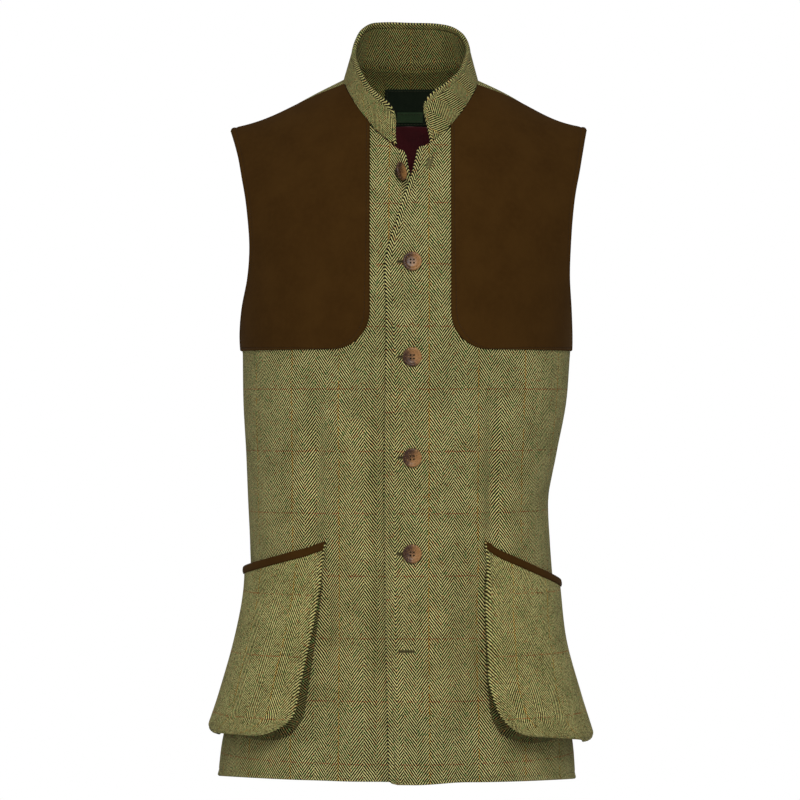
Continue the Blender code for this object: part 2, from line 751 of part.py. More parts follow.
def pocket_place(pocket, u, v):
    """The turn, rise and stand of a pocket's outer face, across and down its panel."""
    side = pocket.side
    inner_x = pocket.inner_top + (pocket.inner_foot - pocket.inner_top) * v
    sideways = 1.0 - (1.0 - u) ** POCKET_SIDEWAYS
    top = pocket.top_inner_height + (pocket.top_outer_height - pocket.top_inner_height) * sideways
    foot = pocket.foot_inner_height + (pocket.foot_outer_height - pocket.foot_inner_height) * sideways
    outer_share = ease((u - POCKET_OUTER_LIFT_START) / (1.0 - POCKET_OUTER_LIFT_START))
    height = top + (foot - top) * v + POCKET_OUTER_LIFT * outer_share * v**6
    rise = (height - ARM_HEIGHT) / (ARM_HEIGHT - HEM_HEIGHT)
    inner = np.abs(turn_at(inner_x, -1, rise))
    outer = POCKET_OUTER_TURN * np.ones_like(inner)
    above = (1.0 - v) * (pocket.top_inner_height - pocket.foot_inner_height)
    inner += corner_cut(above, POCKET_INNER_CORNER) / SIDE_REACH
    outer -= corner_cut(above, POCKET_OUTER_CORNER) / SIDE_REACH
    turn = side * (inner + (outer - inner) * u)
    top_stand = POCKET_TOP_STAND + (pocket.top_stand_outer - POCKET_TOP_STAND) * u
    foot_stand = pocket.foot_stand_inner + (pocket.foot_stand_outer - pocket.foot_stand_inner) * u
    crown = POCKET_CROWN * np.sin(math.pi * u) * np.sin(math.pi * v)
    spread = POCKET_INNER_SPREAD + (POCKET_OUTER_SPREAD - POCKET_INNER_SPREAD) * u
    curl = POCKET_OUTER_CURL_SHARE * corner_cut(above, POCKET_OUTER_CURL) * ease((u - 0.5) / 0.4)
    stand = top_stand + (foot_stand - top_stand) * v**spread + crown - curl
    return turn, rise, stand


def corner_cut(above, radius):
    """How far a rounded lower corner draws the edge in, at a height above the foot."""
    missing = np.clip(radius - above, 0.0, radius)
    return radius - np.sqrt(radius**2 - missing**2)


def build_pocket(parts, pocket, name, tweed, suede):
    u = np.linspace(0, 1, 13)[None, :]
    v = 1.0 - (1.0 - np.linspace(0, 1, 11)) ** 1.3
    v = np.concatenate([v[:-1], [0.975, 0.990, 1.0]])[:, None]
    turn, rise, stand = pocket_place(pocket, u * np.ones_like(v), v * np.ones_like(u))
    points = cloth_point(turn, rise, stand)
    sheet(parts, f"pocket_panel_{name}", points, TWEED, tweed, flip=pocket.side > 0)
    height = pocket.top_inner_height - pocket.foot_inner_height
    rows = (np.array([-TRIM_ABOVE, 0.5 * TRIM_WIDTH, TRIM_WIDTH]) / height)[:, None]
    turn, rise, stand = pocket_place(pocket, u * np.ones_like(rows), np.maximum(rows, 0.0) * np.ones_like(u))
    rise = rise - np.minimum(rows, 0.0) * height / (ARM_HEIGHT - HEM_HEIGHT)
    points = cloth_point(turn, rise, stand + FACET_GAP + TRIM_STAND)
    sheet(parts, f"pocket_trim_{name}", points, SUEDE, suede, flip=pocket.side > 0)
    build_gusset(parts, pocket, name, tweed)


def gusset_path(steps):
    """Down the pocket's inner edge, along its foot and up its outer edge, as shares (u, v)."""
    down = [(0.0, v) for v in np.linspace(GUSSET_TOP, 0.90, steps)]
    corner = [(0.018, 0.96), (0.050, 0.985)]
    along = [(u, 0.99) for u in np.linspace(0.12, 0.92, steps)]
    far_corner = [(0.975, 0.975)]
    up = [(1.0, v) for v in np.linspace(0.92, GUSSET_TOP, steps)]
    return down + corner + along + far_corner + up


def build_gusset(parts, pocket, name, tweed):
    """The bellows between the panel and the body, folded in along its middle."""
    middle_turn, middle_rise, _ = pocket_place(pocket, np.array(0.5), np.array(0.55))
    skirt = ARM_HEIGHT - HEM_HEIGHT
    columns = []
    for u, v in gusset_path(9):
        turn, rise, stand = (float(value) for value in pocket_place(pocket, np.array(u), np.array(v)))
        to_middle = np.array([(middle_turn - turn) * SIDE_REACH, (middle_rise - rise) * skirt])
        to_middle /= np.linalg.norm(to_middle)
        column_points = []
        top = stand - TWEED - GAP
        foot = GUSSET_FOOT
        for share in (0.0, 0.25, 0.5, 0.75, 1.0):
            inset = GUSSET_INSET + min(GUSSET_FOLD, 0.4 * (top - foot)) * math.sin(math.pi * share) ** 2
            low = ease((v - GUSSET_FLARE_START) / (GUSSET_FLARE_END - GUSSET_FLARE_START))
            inset -= GUSSET_FLARE * float(low * ease((0.45 - u) / 0.35)) * (1.0 - share)
            moved_turn = turn + to_middle[0] * inset / SIDE_REACH
            moved_rise = rise + to_middle[1] * inset / skirt
            height = foot + max(top - GUSSET_CLEARANCE - foot, GUSSET_LEAST) * share
            column_points.append(cloth_point(moved_turn, moved_rise, height))
        columns.append(column_points)
    points = np.array(columns).transpose(1, 0, 2)
    sheet(parts, f"pocket_gusset_{name}", points, GUSSET_WALL, tweed, flip=pocket.side < 0)


def build_neck_facing(parts, tweed):
    """The strip of tweed inside the back of the neck."""
    angles = np.linspace(math.pi - FACING_HALF_ANGLE, math.pi + FACING_HALF_ANGLE, 25)
    top = places_seen_from_above(*neck_plan(angles))
    top[:, 0] %= 2 * math.pi
    rows = []
    for share in np.linspace(0, 1, 8):
        rise = FACING_FOOT + (top[:, 1] - FACING_TOP - FACING_FOOT) * share
        rows.append(cloth_point(top[:, 0], rise, -TWEED - FACING_GAP))
    sheet(parts, "neck_facing", np.array(rows), FACING, tweed)


def build_lining(parts, lining):
    rows = []
    for rise in np.linspace(LINING_FOOT, LINING_TOP, 19):
        first, last = (armhole_edge(side, 1, [rise])[0][0] for side in (1, -1))
        turns = math.pi + (np.linspace(first, last + 2 * math.pi, 21) - math.pi) * LINING_WIDTH
        rows.append(cloth_point(turns, np.full_like(turns, rise), -TWEED - LINING_GAP))
    points = np.array(rows)
    sheet(parts, "lining_back", points, LINING, lining)


def label_points(width, top, foot, stand, columns, rows):
    x = np.linspace(width / 2, -width / 2, columns + 1)[None, :] * np.ones((rows + 1, 1))
    height = np.linspace(foot, top, rows + 1)[:, None] * np.ones((1, columns + 1))
    rise = rise_at(x, 1, height)
    return cloth_point(turn_at(x, 1, rise), rise, stand)


def build_labels(parts, green, dark_green):
    depth = -TWEED - FACING_GAP - FACING - LABEL_GAP
    points = label_points(LABEL_WIDTH, LABEL_TOP, LABEL_FOOT, depth, 6, 4)
    sheet(parts, "neck_label", points, LINING, green)
    points = label_points(TAG_WIDTH, TAG_TOP, TAG_FOOT, depth - LINING - FACET_GAP, 4, 2)
    sheet(parts, "neck_label_tag", points, LINING, dark_green)


def build_button(parts, name, point, outward, gap, horn):
    bm = bmesh.new()
    bmesh.ops.create_cone(
        bm, cap_ends=True, segments=24, radius1=BUTTON_RADIUS, radius2=BUTTON_RADIUS, depth=BUTTON_THICKNESS
    )
    mesh = bpy.data.meshes.new(name)
    bm.to_mesh(mesh)
    bm.free()
    mesh.shade_smooth()
    mesh.set_sharp_from_angle(angle=math.radians(40))
    piece = bpy.data.objects.new(name, mesh)
    parts.objects.link(piece)
    piece.data.materials.append(horn)
    rounded = piece.modifiers.new("rounded", "BEVEL")
    rounded.width = BUTTON_BEVEL
    rounded.segments = 1
    rounded.limit_method = "ANGLE"
    away = Vector(outward).normalized()
    rest = Vector(point) + away * (gap + BUTTON_THICKNESS / 2)
    piece.matrix_world = Matrix.Translation(rest) @ away.to_track_quat("Z", "Y").to_matrix().to_4x4()


def front_face_at(side, x, height):
    """The outer face of a front at a place seen from the front, and its outward direction."""
    x = np.array(x)
    rise = rise_at(x, -1, height)
    turn = turn_at(x, -1, rise)

    def face(turns, rises):
        places = np.stack([turns, rises], axis=-1)
        return cloth_point(turns, rises, front_stand(side, places))

    return face(turn, rise), directions(face, turn, rise)


def build_buttons(parts, horn):
    point, _ = front_face_at(-1, *TOP_BUTTON)
    outward = (math.sin(TOP_BUTTON_TURN), -math.cos(TOP_BUTTON_TURN), 0.18)
    build_button(parts, "button_1", point, outward, TOP_BUTTON_GAP, horn)
    for i, height in enumerate(BUTTON_HEIGHTS):
        point, outward = front_face_at(1, BUTTON_LINE, height)
        build_button(parts, f"button_{i + 2}", point, outward, BUTTON_GAP, horn)


def main():
    parts = start()
    tweed = material("tweed", (0.170, 0.155, 0.065), 0.95)
    suede = material("suede", (0.045, 0.021, 0.005), 0.95)
    satin = material("lining_satin", (0.018, 0.004, 0.005), 0.45)
    horn = material("horn", (0.180, 0.100, 0.050), 0.35)
    label = material("label_green", (0.007, 0.012, 0.004), 0.80)
    tag = material("tag_green", (0.017, 0.035, 0.014), 0.80)
    build_back(parts, tweed)
    build_fronts(parts, tweed)
    build_collar(parts, tweed)
    build_patches(parts, suede)
    build_pocket(parts, POCKETS[0], "right", tweed, suede)
    build_pocket(parts, POCKETS[1], "left", tweed, suede)
    build_neck_facing(parts, tweed)
    build_lining(parts, satin)
    build_labels(parts, label, tag)
    build_buttons(parts, horn)


main()
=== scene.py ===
"""The looks of the tweed shooting vest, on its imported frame: +X to the wearer's left, -Y to the front, +Z up.

Every cloth piece is read again from the body surface of the solids, cloth_point(turn, rise), on a finer grid.
turn goes round the body from 0 at the centre front through 90 degrees at the wearer's left side to 180 at the
centre back. rise is -1 at the hem, 0 at the foot of the armholes and 1 on the shoulder line.
"""

import math
from typing import NamedTuple

import bmesh
import bpy
import numpy as np
from mathutils import Matrix, Vector


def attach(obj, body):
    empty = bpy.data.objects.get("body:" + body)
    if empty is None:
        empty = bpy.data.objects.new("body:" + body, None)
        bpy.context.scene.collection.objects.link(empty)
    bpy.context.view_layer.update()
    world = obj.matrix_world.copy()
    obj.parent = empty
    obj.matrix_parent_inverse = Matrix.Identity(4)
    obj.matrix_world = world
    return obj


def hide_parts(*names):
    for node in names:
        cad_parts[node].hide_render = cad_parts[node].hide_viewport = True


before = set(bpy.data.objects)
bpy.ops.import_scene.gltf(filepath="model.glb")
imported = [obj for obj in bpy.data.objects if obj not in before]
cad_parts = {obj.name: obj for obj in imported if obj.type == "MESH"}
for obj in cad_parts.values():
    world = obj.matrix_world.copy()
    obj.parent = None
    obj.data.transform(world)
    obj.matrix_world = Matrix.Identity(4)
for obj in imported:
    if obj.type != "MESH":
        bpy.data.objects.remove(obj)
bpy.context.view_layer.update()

# Cloth, in metres
TWEED = 0.0024
FACING = 0.0012
LINING = 0.0010
COLLAR_WALL = 0.0030
GAP = 0.0004
FACET_GAP = 0.0010
FACING_GAP = 0.0020
LINING_GAP = 0.0027
SIDE_SEAM_GAP = 0.0007
SHOULDER_SEAM_GAP = 0.0017
SIDE_REACH = 0.15

# Heights and the shoulder line
ARM_HEIGHT = -0.302
HEM_HEIGHT = -0.7655
SKIRT = ARM_HEIGHT - HEM_HEIGHT
HEM_TILT = -0.008
HEM_FRONT_RISE = 0.0085
SHOULDER_RISE = 0.171
SHOULDER_REACH = 0.190
LEFT_SHOULDER_WAVE = 0.0028
RIGHT_SHOULDER_WAVE = 0.0018
BACK_NECK_RISE = 0.024
BACK_NECK_HALF_WIDTH = 0.095
BACK_NECK_EASE = 0.045
BACK_NECK_DEPTH = 0.035
BACK_NECK_FADE = 0.060
SEAM_FORWARD = 0.024
SEAM_BEND = 1.2

# How round the body is seen from above, and how the chest closes over the shoulders
SQUARENESS = 2.4
CHEST_RISE = 2.2
CHEST_DEPTH = 1.7

# Neckline, an oval seen from above
NECK_CENTRE = (0.001, -0.010)
NECK_HALF_WIDTH = 0.0735
NECK_FRONT = 0.0865
NECK_BACK = 0.058
COLLAR_END_LEAN = 0.0075
COLLAR_END_LEAN_WIDTH = math.radians(22)
COLLAR_END_FORWARD_SHARE = 0.35
COLLAR_LEAN = 0.0095
COLLAR_FRONT_LEAN_SHARE = 0.25
COLLAR_SEAM_GAP = 0.0017
COLLAR_BACK_LEAN = 0.006
COLLAR_END_RADIUS = 0.016
COLLAR_END_DROP = 0.013
COLLAR_RIGHT_HAND_END = math.radians(-13.5)
COLLAR_LEFT_HAND_END = math.radians(17.5)

# Fronts
OVERLAP_LIFT = TWEED + 0.0009
OVERLAP_LIFT_END = 0.058
OVERLAP_LIFT_EASE = 0.028
ROLL_FOOT = -0.150
ROLL_EASE = 0.040
ROLL_TOP_SHARE = 0.55
ROLL_TOP = -0.104
ROLL_TOP_EASE = 0.024

# Suede chest patches
PATCH_INNER_EDGE = 0.0435
PATCH_CORNER = 0.040
PATCH_FOOT = 0.006
PATCH_STAND = 0.0021
PATCH_SEAT = 0.0002
PATCH_EDGE_DROP = 0.0010
PATCH_EDGE_WIDTH = 0.0011
PATCH_SWELL = (0.0002, 0.003, 0.002)
PATCH_GROOVE = 0.00055

# Buttons
BUTTON_RADIUS = 0.0102
BUTTON_THICKNESS = 0.0034
BUTTON_GAP = 0.0004
BUTTON_LINE = 0.002
BUTTON_HEIGHTS = (-0.205, -0.306, -0.413, -0.516)
TOP_BUTTON = (-0.0155, -0.107)
TOP_BUTTON_TURN = math.radians(62)
TOP_BUTTON_TILT = 0.18
TOP_BUTTON_GAP = 0.0050

# Pockets
POCKET_OUTER_TURN = math.radians(97)
POCKET_SIDEWAYS = 2.5
POCKET_INNER_CORNER = 0.030
POCKET_OUTER_CORNER = 0.013
POCKET_OUTER_LIFT = 0.007
POCKET_OUTER_LIFT_START = 0.85
POCKET_OUTER_LIFT_POWER = 6
POCKET_OUTER_CURL = 0.012
POCKET_OUTER_CURL_SHARE = 0.95
POCKET_OUTER_CURL_START = 0.3
POCKET_OUTER_CURL_EASE = 0.35
POCKET_CROWN = 0.004
POCKET_TOP_GAP = 0.0010
POCKET_INNER_SPREAD = 1.15
POCKET_OUTER_SPREAD = 2.1
TRIM_WIDTH = 0.0066
TRIM_TOP = 0.0012
TRIM_DROP = 0.0006
TRIM_LOWER_EDGE = (0.3, 0.55)
TRIM_SWELL = ((0.85, 0.92), (0.60, 1.05), (0.35, 1.10))
TRIM_OUTER = (0.0019, 0.0008, 0.0030)
TRIM_INNER = (0.0003, 0.0001, 0.0014)
GUSSET_TOP = 0.05
GUSSET_INSET = 0.0024
GUSSET_FLARE = 0.0090
GUSSET_FLARE_START = 0.84
GUSSET_FLARE_END = 0.98
GUSSET_FOLD = 0.006
GUSSET_FOLD_SHARE = 0.4
GUSSET_WALL = 0.0014
GUSSET_CLEARANCE = 0.00245
GUSSET_FOOT = 0.0018
GUSSET_LEAST = 0.0006
# How far the dark gusset shows past the panel's inner edge, as a painted shadow line.
GUSSET_SHADE_BAND = 0.0050
GUSSET_CRUMPLE = 0.0017
GUSSET_SEEN_TO = 0.45

# Neck facing and lining: where they end, in rise and in turn, and then how they stand and wave, in metres
FACING_HALF_ANGLE = math.radians(68)
FACING_FOOT = 0.505
FACING_AIR = 0.0003
FACING_LEAN = 0.0018
FACING_SEAM_STEP = 0.0006
FACING_SEAM_EASE = 0.003
FACING_GROOVE = (0.0008, 0.0015, 0.0022)
FACING_FOOT_DROP = 0.0010
FACING_WALL = 0.0007
LINING_TOP = 0.530
LINING_FOOT = -0.96
LINING_WIDTH = 0.965
LINING_RIPPLE = 0.0004
PLEAT_DEPTH = 0.0007
PLEAT_MIDDLE = 0.0005
PLEAT_WIDTH = 0.0012

# Neck label
LABEL_GAP = 0.0010
LABEL_GAP_SHARE = 0.6
LABEL_WIDTH = 0.056
LABEL_TOP = -0.002
LABEL_FOOT = -0.042
TAG_WIDTH = 0.029
TAG_TOP = -0.027
TAG_FOOT = -0.038
TAG_SEAT = 0.0006
LABEL_STEPS = (42, 30)
LABEL_BORDER = (0.00022, 0.0011, 0.0007)


def table(kind, *rows):
    return [kind(*row) for row in rows]


class Section(NamedTuple):
    """How far the body reaches from its middle at one height below the armholes."""

    height: float
    right_hand: float
    left_hand: float
    front: float
    back: float


BODY = table(
    Section,
    (-0.790, 0.2130, 0.1830, 0.146, 0.148),
    (-0.7645, 0.2105, 0.1815, 0.145, 0.147),
    (-0.730, 0.2065, 0.1790, 0.143, 0.145),
    (-0.680, 0.1945, 0.1700, 0.139, 0.140),
    (-0.620, 0.1820, 0.1600, 0.134, 0.133),
    (-0.560, 0.1750, 0.1575, 0.130, 0.128),
    (-0.510, 0.1757, 0.1538, 0.127, 0.125),
    (-0.460, 0.1780, 0.1522, 0.126, 0.124),
    (-0.410, 0.1800, 0.1610, 0.1295, 0.1310),
    (-0.355, 0.1830, 0.1715, 0.1325, 0.1365),
    (-0.302, 0.1837, 0.1757, 0.1332, 0.1380),
)


class Armhole(NamedTuple):
    """The armhole's edge at one share of the way up: its reach, and its cut to the front and the back."""

    share: float
    right_hand: float
    left_hand: float
    front_cut: float
    back_cut: float


ARMHOLE = table(
    Armhole,
    (0.000, 0.1837, 0.1757, 0.00, 0.00),
    (0.063, 0.1845, 0.1757, 0.18, 0.20),
    (0.194, 0.1820, 0.1742, 0.34, 0.37),
    (0.325, 0.1756, 0.1722, 0.45, 0.48),
    (0.456, 0.1734, 0.1732, 0.52, 0.54),
    (0.587, 0.1756, 0.1755, 0.57, 0.58),
    (0.718, 0.1803, 0.1800, 0.58, 0.58),
    (0.849, 0.1865, 0.1865, 0.51, 0.51),
    (1.000, 0.1965, 0.1935, 0.45, 0.45),
)
BACK_ARMHOLE_SET_IN = 0.004


class FrontEdge(NamedTuple):
    """Where the two free front edges lie at one height."""

    height: float
    overlap: float
    underlap: float


FRONT_EDGES = table(
    FrontEdge,
    (-0.800, -0.0215, 0.0270),
    (-0.759, -0.0215, 0.0270),
    (-0.671, -0.0228, 0.0270),
    (-0.480, -0.0250, 0.0270),
    (-0.246, -0.0250, 0.0270),
    (-0.203, -0.0256, 0.0262),
    (-0.182, -0.0213, 0.0240),
    (-0.160, -0.0139, 0.0190),
    (-0.132, -0.0053, 0.0090),
    (-0.114, 0.0011, 0.0018),
    (-0.096, 0.0058, -0.0030),
    (-0.070, 0.0110, -0.0085),
)


class Front(NamedTuple):
    """What one front has of its own: its edge, its top corner, its first check and how its top edge rolls."""

    edge: str
    corner: float
    check: float
    roll: float
    roll_width: float


FRONTS = {
    1: Front("overlap", 0.0095, 0.0199, 0.0018, 0.016),
    -1: Front("underlap", -0.0070, -0.0770, 0.0150, 0.0125),
}


class Rim(NamedTuple):
    """The height of the collar's top edge at one angle of the neckline, in degrees."""

    angle: float
    height: float


COLLAR_RIM = table(
    Rim,
    (17.5, -0.0262),
    (30.0, -0.0162),
    (45.0, -0.0026),
    (60.0, 0.0109),
    (75.0, 0.0237),
    (90.0, 0.0338),
    (105.0, 0.0440),
    (120.0, 0.0548),
    (135.0, 0.0616),
    (150.0, 0.0650),
    (180.0, 0.0668),
    (210.0, 0.0666),
    (225.0, 0.0645),
    (240.0, 0.0578),
    (255.0, 0.0450),
    (270.0, 0.0335),
    (285.0, 0.0219),
    (300.0, 0.0080),
    (315.0, -0.0100),
    (330.0, -0.0235),
    (346.5, -0.0360),
)


# The shares of a fold's length over which it starts and ends, and how far a crease reaches past its ends
FOLD_START = 0.25
FOLD_END = 0.20
CREASE_REACH = 0.15
CREASE_EASE = 0.4


class Fold(NamedTuple):
    """One long trough in the cloth; face is -1 on the front, 1 on the back. A negative depth is a ridge."""

    face: int
    top_x: float
    top_height: float
    foot_x: float
    foot_height: float
    depth: float
    width: float


FOLDS = table(
    Fold,
    (-1, -0.037, -0.270, -0.033, -0.800, 0.0034, 0.011),
    (-1, 0.088, -0.310, 0.090, -0.570, 0.0036, 0.013),
    (-1, -0.098, -0.330, -0.108, -0.560, 0.0030, 0.013),
    (-1, -0.078, -0.540, -0.100, -0.800, 0.0040, 0.018),
    (-1, 0.062, -0.520, 0.060, -0.800, 0.0040, 0.017),
    (-1, -0.060, -0.600, -0.066, -0.800, -0.0030, 0.018),
    (1, -0.085, -0.180, -0.075, -0.700, 0.0040, 0.020),
    (1, 0.095, -0.240, 0.070, -0.780, 0.0045, 0.022),
    (1, 0.010, -0.380, 0.000, -0.800, -0.0035, 0.026),
)


class Pocket(NamedTuple):
    """One bellows pocket, with its outer panel's places and its checks'; side is -1 on the wearer's right."""

    side: int
    inner_top: float
    inner_foot: float
    top_inner_height: float
    top_outer_height: float
    foot_inner_height: float
    foot_outer_height: float
    top_stand_outer: float
    foot_stand_inner: float
    foot_stand_outer: float
    check_across: float
    check_up: float


POCKETS = table(
    Pocket,
    (-1, -0.0905, -0.1190, -0.5095, -0.5375, -0.7215, -0.7220, 0.0078, 0.033, 0.0150, 0.0315, 0.638),
    (1, 0.0800, 0.0890, -0.5085, -0.5510, -0.7195, -0.7280, 0.0085, 0.033, 0.023, 0.032, 0.637),
)
POCKET_CHECK_STRETCH = 1.02
POCKET_TOP_STAND = TWEED + POCKET_TOP_GAP

# How the grids share their columns between neckline and shoulder seams, and gather their rows at one end
FRONT_NECK_SHARE = 0.45
BACK_SEAM_SHARE = 0.22
PATCH_NECK_SHARE = 0.3
FRONT_GATHER = 1.35
PATCH_GATHER = 1.5
BACK_EVEN_SHARE = 0.45
BACK_EASED_SHARE = 0.55
GATHER = 0.8

# How finely curves are read, and how often a search is halved
DENSE = 240
ARC_STEPS = 20
HALVINGS = 40


class Crease(NamedTuple):
    """One short soft trough along a line between two places; face is -1 on the front and 1 on the back."""

    face: int
    from_x: float
    from_height: float
    to_x: float
    to_height: float
    depth: float
    width: float


CREASES = table(
    Crease,
    (-1, 0.150, -0.395, 0.070, -0.470, 0.0016, 0.010),
    (-1, 0.155, -0.452, 0.085, -0.500, 0.0013, 0.008),
    (-1, 0.140, -0.345, 0.090, -0.372, 0.0009, 0.008),
    (-1, -0.165, -0.405, -0.095, -0.455, 0.0014, 0.010),
    (-1, -0.160, -0.470, -0.100, -0.492, 0.0011, 0.008),
    (-1, -0.150, -0.350, -0.085, -0.385, 0.0009, 0.009),
    (-1, 0.014, -0.300, 0.055, -0.318, 0.0008, 0.007),
    (-1, -0.030, -0.312, -0.068, -0.330, 0.0007, 0.007),
    (-1, 0.020, -0.520, 0.060, -0.548, 0.0008, 0.008),
    (-1, 0.030, -0.640, 0.045, -0.760, 0.0012, 0.012),
    (-1, -0.045, -0.660, -0.050, -0.765, 0.0010, 0.011),
    (-1, -0.0340, -0.290, -0.0325, -0.745, 0.0075, 0.0072),
    (-1, 0.0895, -0.345, 0.0900, -0.505, 0.0056, 0.0070),
    (-1, -0.1000, -0.360, -0.1035, -0.510, 0.0048, 0.0070),
    (-1, -0.0860, -0.530, -0.0925, -0.640, 0.0052, 0.0070),
    (-1, 0.0725, -0.535, 0.0790, -0.680, 0.0058, 0.0070),
    (-1, -0.0720, -0.600, -0.0780, -0.730, 0.0016, 0.0070),
    (-1, 0.075, -0.120, 0.110, -0.200, 0.0008, 0.016),
    (-1, -0.080, -0.130, -0.115, -0.215, 0.0008, 0.017),
    (1, 0.150, -0.300, 0.075, -0.350, 0.0018, 0.014),
    (1, -0.150, -0.290, -0.060, -0.340, 0.0017, 0.013),
    (1, 0.150, -0.430, 0.050, -0.480, 0.0020, 0.013),
    (1, -0.155, -0.420, -0.070, -0.490, 0.0018, 0.014),
    (1, 0.120, -0.480, 0.030, -0.520, 0.0013, 0.010),
    (1, -0.130, -0.500, -0.040, -0.530, 0.0012, 0.010),
    (1, 0.050, -0.100, 0.025, -0.230, 0.0013, 0.018),
    (1, -0.060, -0.110, -0.020, -0.250, 0.0012, 0.017),
    (1, -0.030, -0.560, -0.045, -0.760, 0.0016, 0.018),
    (1, 0.110, -0.580, 0.125, -0.760, 0.0015, 0.016),
)

# Weave: the herringbone's half-band, the twill's two periods, and the overchecks
HALF_BAND = 0.01353
TWILL_ACROSS = 0.00277
TWILL_UP = 0.00394
CHECK_ACROSS = 4 * HALF_BAND
CHECK_UP = 0.0666
CHECK_HEIGHT = -0.0383

# Turned edges and their topstitching
EDGE_SWELL = 0.0006
EDGE_SWELL_WIDTH = 0.0032
STITCH_INSET = 0.0060
SECOND_STITCH_INSET = 0.0125
GROOVE_DEPTH = 0.0005
GROOVE_WIDTH = 0.0012
RIM_ROUNDING = 0.45
TURNED_EDGE = 0.0080
TURNED_EDGE_BAND = 0.0020
POCKET_TURNED_EDGE = 0.0042
STITCH_PITCH = 0.0034
STITCH_LENGTH = 0.0025
STITCH_RADIUS = 0.00026
SUEDE_STITCH_INSET = 0.0062
SUEDE_STITCH_END = 0.003
STITCH_END = 0.004
HEM_STITCH_END = 0.002
POCKET_STITCH_TOP = 0.009
COLLAR_STITCH_END = 0.012
LABEL_STITCH_INSET = 0.0019
FACING_WIDTH = 0.062
HEM_FACING = 0.030
HEM_CORNER = 0.007
OVERLAP_HEM_DROP = 0.0030
OVERLAP_HEM_DROP_END = 0.060
OVERLAP_HEM_DROP_HEIGHT = 0.08
COLLAR_EDGE = 0.0052
COLLAR_EDGE_SWELL = 0.0011
COLLAR_SINK = 0.0016
COLLAR_ROLL = 0.0006
COLLAR_ROLL_PACE = 55.0
COLLAR_BAND_EASE = 0.0012
COLLAR_OUTER_SHARE = 0.4
COLLAR_INNER_GROOVE = 1.4
COLLAR_SLANT = (0.77, 0.64)
COLLAR_SLANT_START = (0.011, 0.02)
FACING_SEAM_DROP = 0.019
COLLAR_BELOW_NECKLINE = 0.0072

# Buttonholes
BUTTONHOLE_MIDDLE = -0.0030
BUTTONHOLE_LENGTH = 0.0225
BUTTONHOLE_WIDTH = 0.0034
BOTTOM_BUTTONHOLE = (-0.0041, -0.6195)
BOTTOM_BUTTONHOLE_LENGTH = 0.0170
TOP_BUTTONHOLE = (0.0205, -0.0985)
TOP_BUTTONHOLE_LENGTH = 0.0150
TOP_BUTTONHOLE_SLOPE = math.radians(72)
BOTTOM_BUTTONHOLE_WIDTH = 0.0026
TOP_BUTTONHOLE_WIDTH = 0.0070
THREAD_GIRTH = 0.00062
THREAD_BULGE = 0.22
THREAD_WRAPS = 75
THREAD_SPREAD = 1.25
THREAD_RAISE = 0.8
RING_STEPS = 150
RING_SIDES = 8
RING_SHARE = 0.62
SLIT_SHARE = 0.62
SLIT_LIFTS = (0.00045, -0.0004)
SLIT_STEPS = 24

# Lighting and the camera
ROOM_LIGHT = 0.43
KEY_PLACE = (0.3, -2.9, 1.1)
KEY_POWER = 64.0
FILL_PLACE = (-2.2, -2.0, 0.3)
FILL_POWER = 9.0
CAMERA_PLACE = (-0.011, -4.0, -0.352)
VIEW_WIDTH = 0.880
SENSOR = 36.0
FLOOR_HEIGHT = -1.25
FLOOR_REACH = 2.2


class Cut(NamedTuple):
    """A cloth piece as it was cut: its flat width, length and area, in metres and square metres."""

    width: float
    length: float
    area: float


def ease(share):
    share = np.clip(share, 0.0, 1.0)
    return share * share * (3.0 - 2.0 * share)


def blend(first, last, share):
    return first + (last - first) * share


def hump(at, middle, width):
    """1 at the middle, and next to nothing two widths off."""
    return np.exp(-(((at - middle) / width) ** 2))


def unit(way):
    return way / np.maximum(np.linalg.norm(way, axis=-1, keepdims=True), 1e-15)


def joined(*values):
    return np.stack(values, axis=-1)


def parts(places):
    """The turns and the rises of some places."""
    return places[..., 0], places[..., 1]


def through(places, values, at):
    """A smooth curve through the rows of a table, read at some places."""
    places = np.asarray(places, float)
    values = np.asarray(values, float)
    slopes = np.gradient(values, places)
    at = np.clip(at, places[0], places[-1])
    row = np.clip(np.searchsorted(places, at) - 1, 0, len(places) - 2)
    span = places[row + 1] - places[row]
    t = (at - places[row]) / span
    start_part = (1 + 2 * t) * (1 - t) ** 2 * values[row] + t * (1 - t) ** 2 * span * slopes[row]
    end_part = t * t * (3 - 2 * t) * values[row + 1] + t * t * (t - 1) * span * slopes[row + 1]
    return start_part + end_part


def column(rows, name):
    return [getattr(row, name) for row in rows]


def from_body(name, height):
    return through(column(BODY, "height"), column(BODY, name), height)


def from_edges(name, height):
    return through(column(FRONT_EDGES, "height"), column(FRONT_EDGES, name), height)


def across(cut):
    """The sideways share of a unit section where its forward share is cut, and the other way round."""
    return (1.0 - np.clip(np.abs(cut), 0.0, 1.0) ** SQUARENESS) ** (1.0 / SQUARENESS)


def section_reach(side, face, share):
    """Half the width of the upper body's section, from the armhole's reach and cut there."""
    hand = "left_hand" if side > 0 else "right_hand"
    cut = "front_cut" if face < 0 else "back_cut"
    reaches = np.array(column(ARMHOLE, hand))
    if face > 0:
        reaches[1:-1] -= BACK_ARMHOLE_SET_IN
    widths = reaches / across(np.array(column(ARMHOLE, cut)))
    return through(column(ARMHOLE, "share"), widths, share)


def armhole_turn(side, face, share):
    """The turn of the armhole's edge, for the front or the back, at a share of the way up."""
    cut = "front_cut" if face < 0 else "back_cut"
    roots = np.sqrt(column(ARMHOLE, "share"))
    forward = through(roots, column(ARMHOLE, cut), np.sqrt(share))
    turn = np.arctan2(across(forward), forward)
    return side * (turn if face < 0 else math.pi - turn)


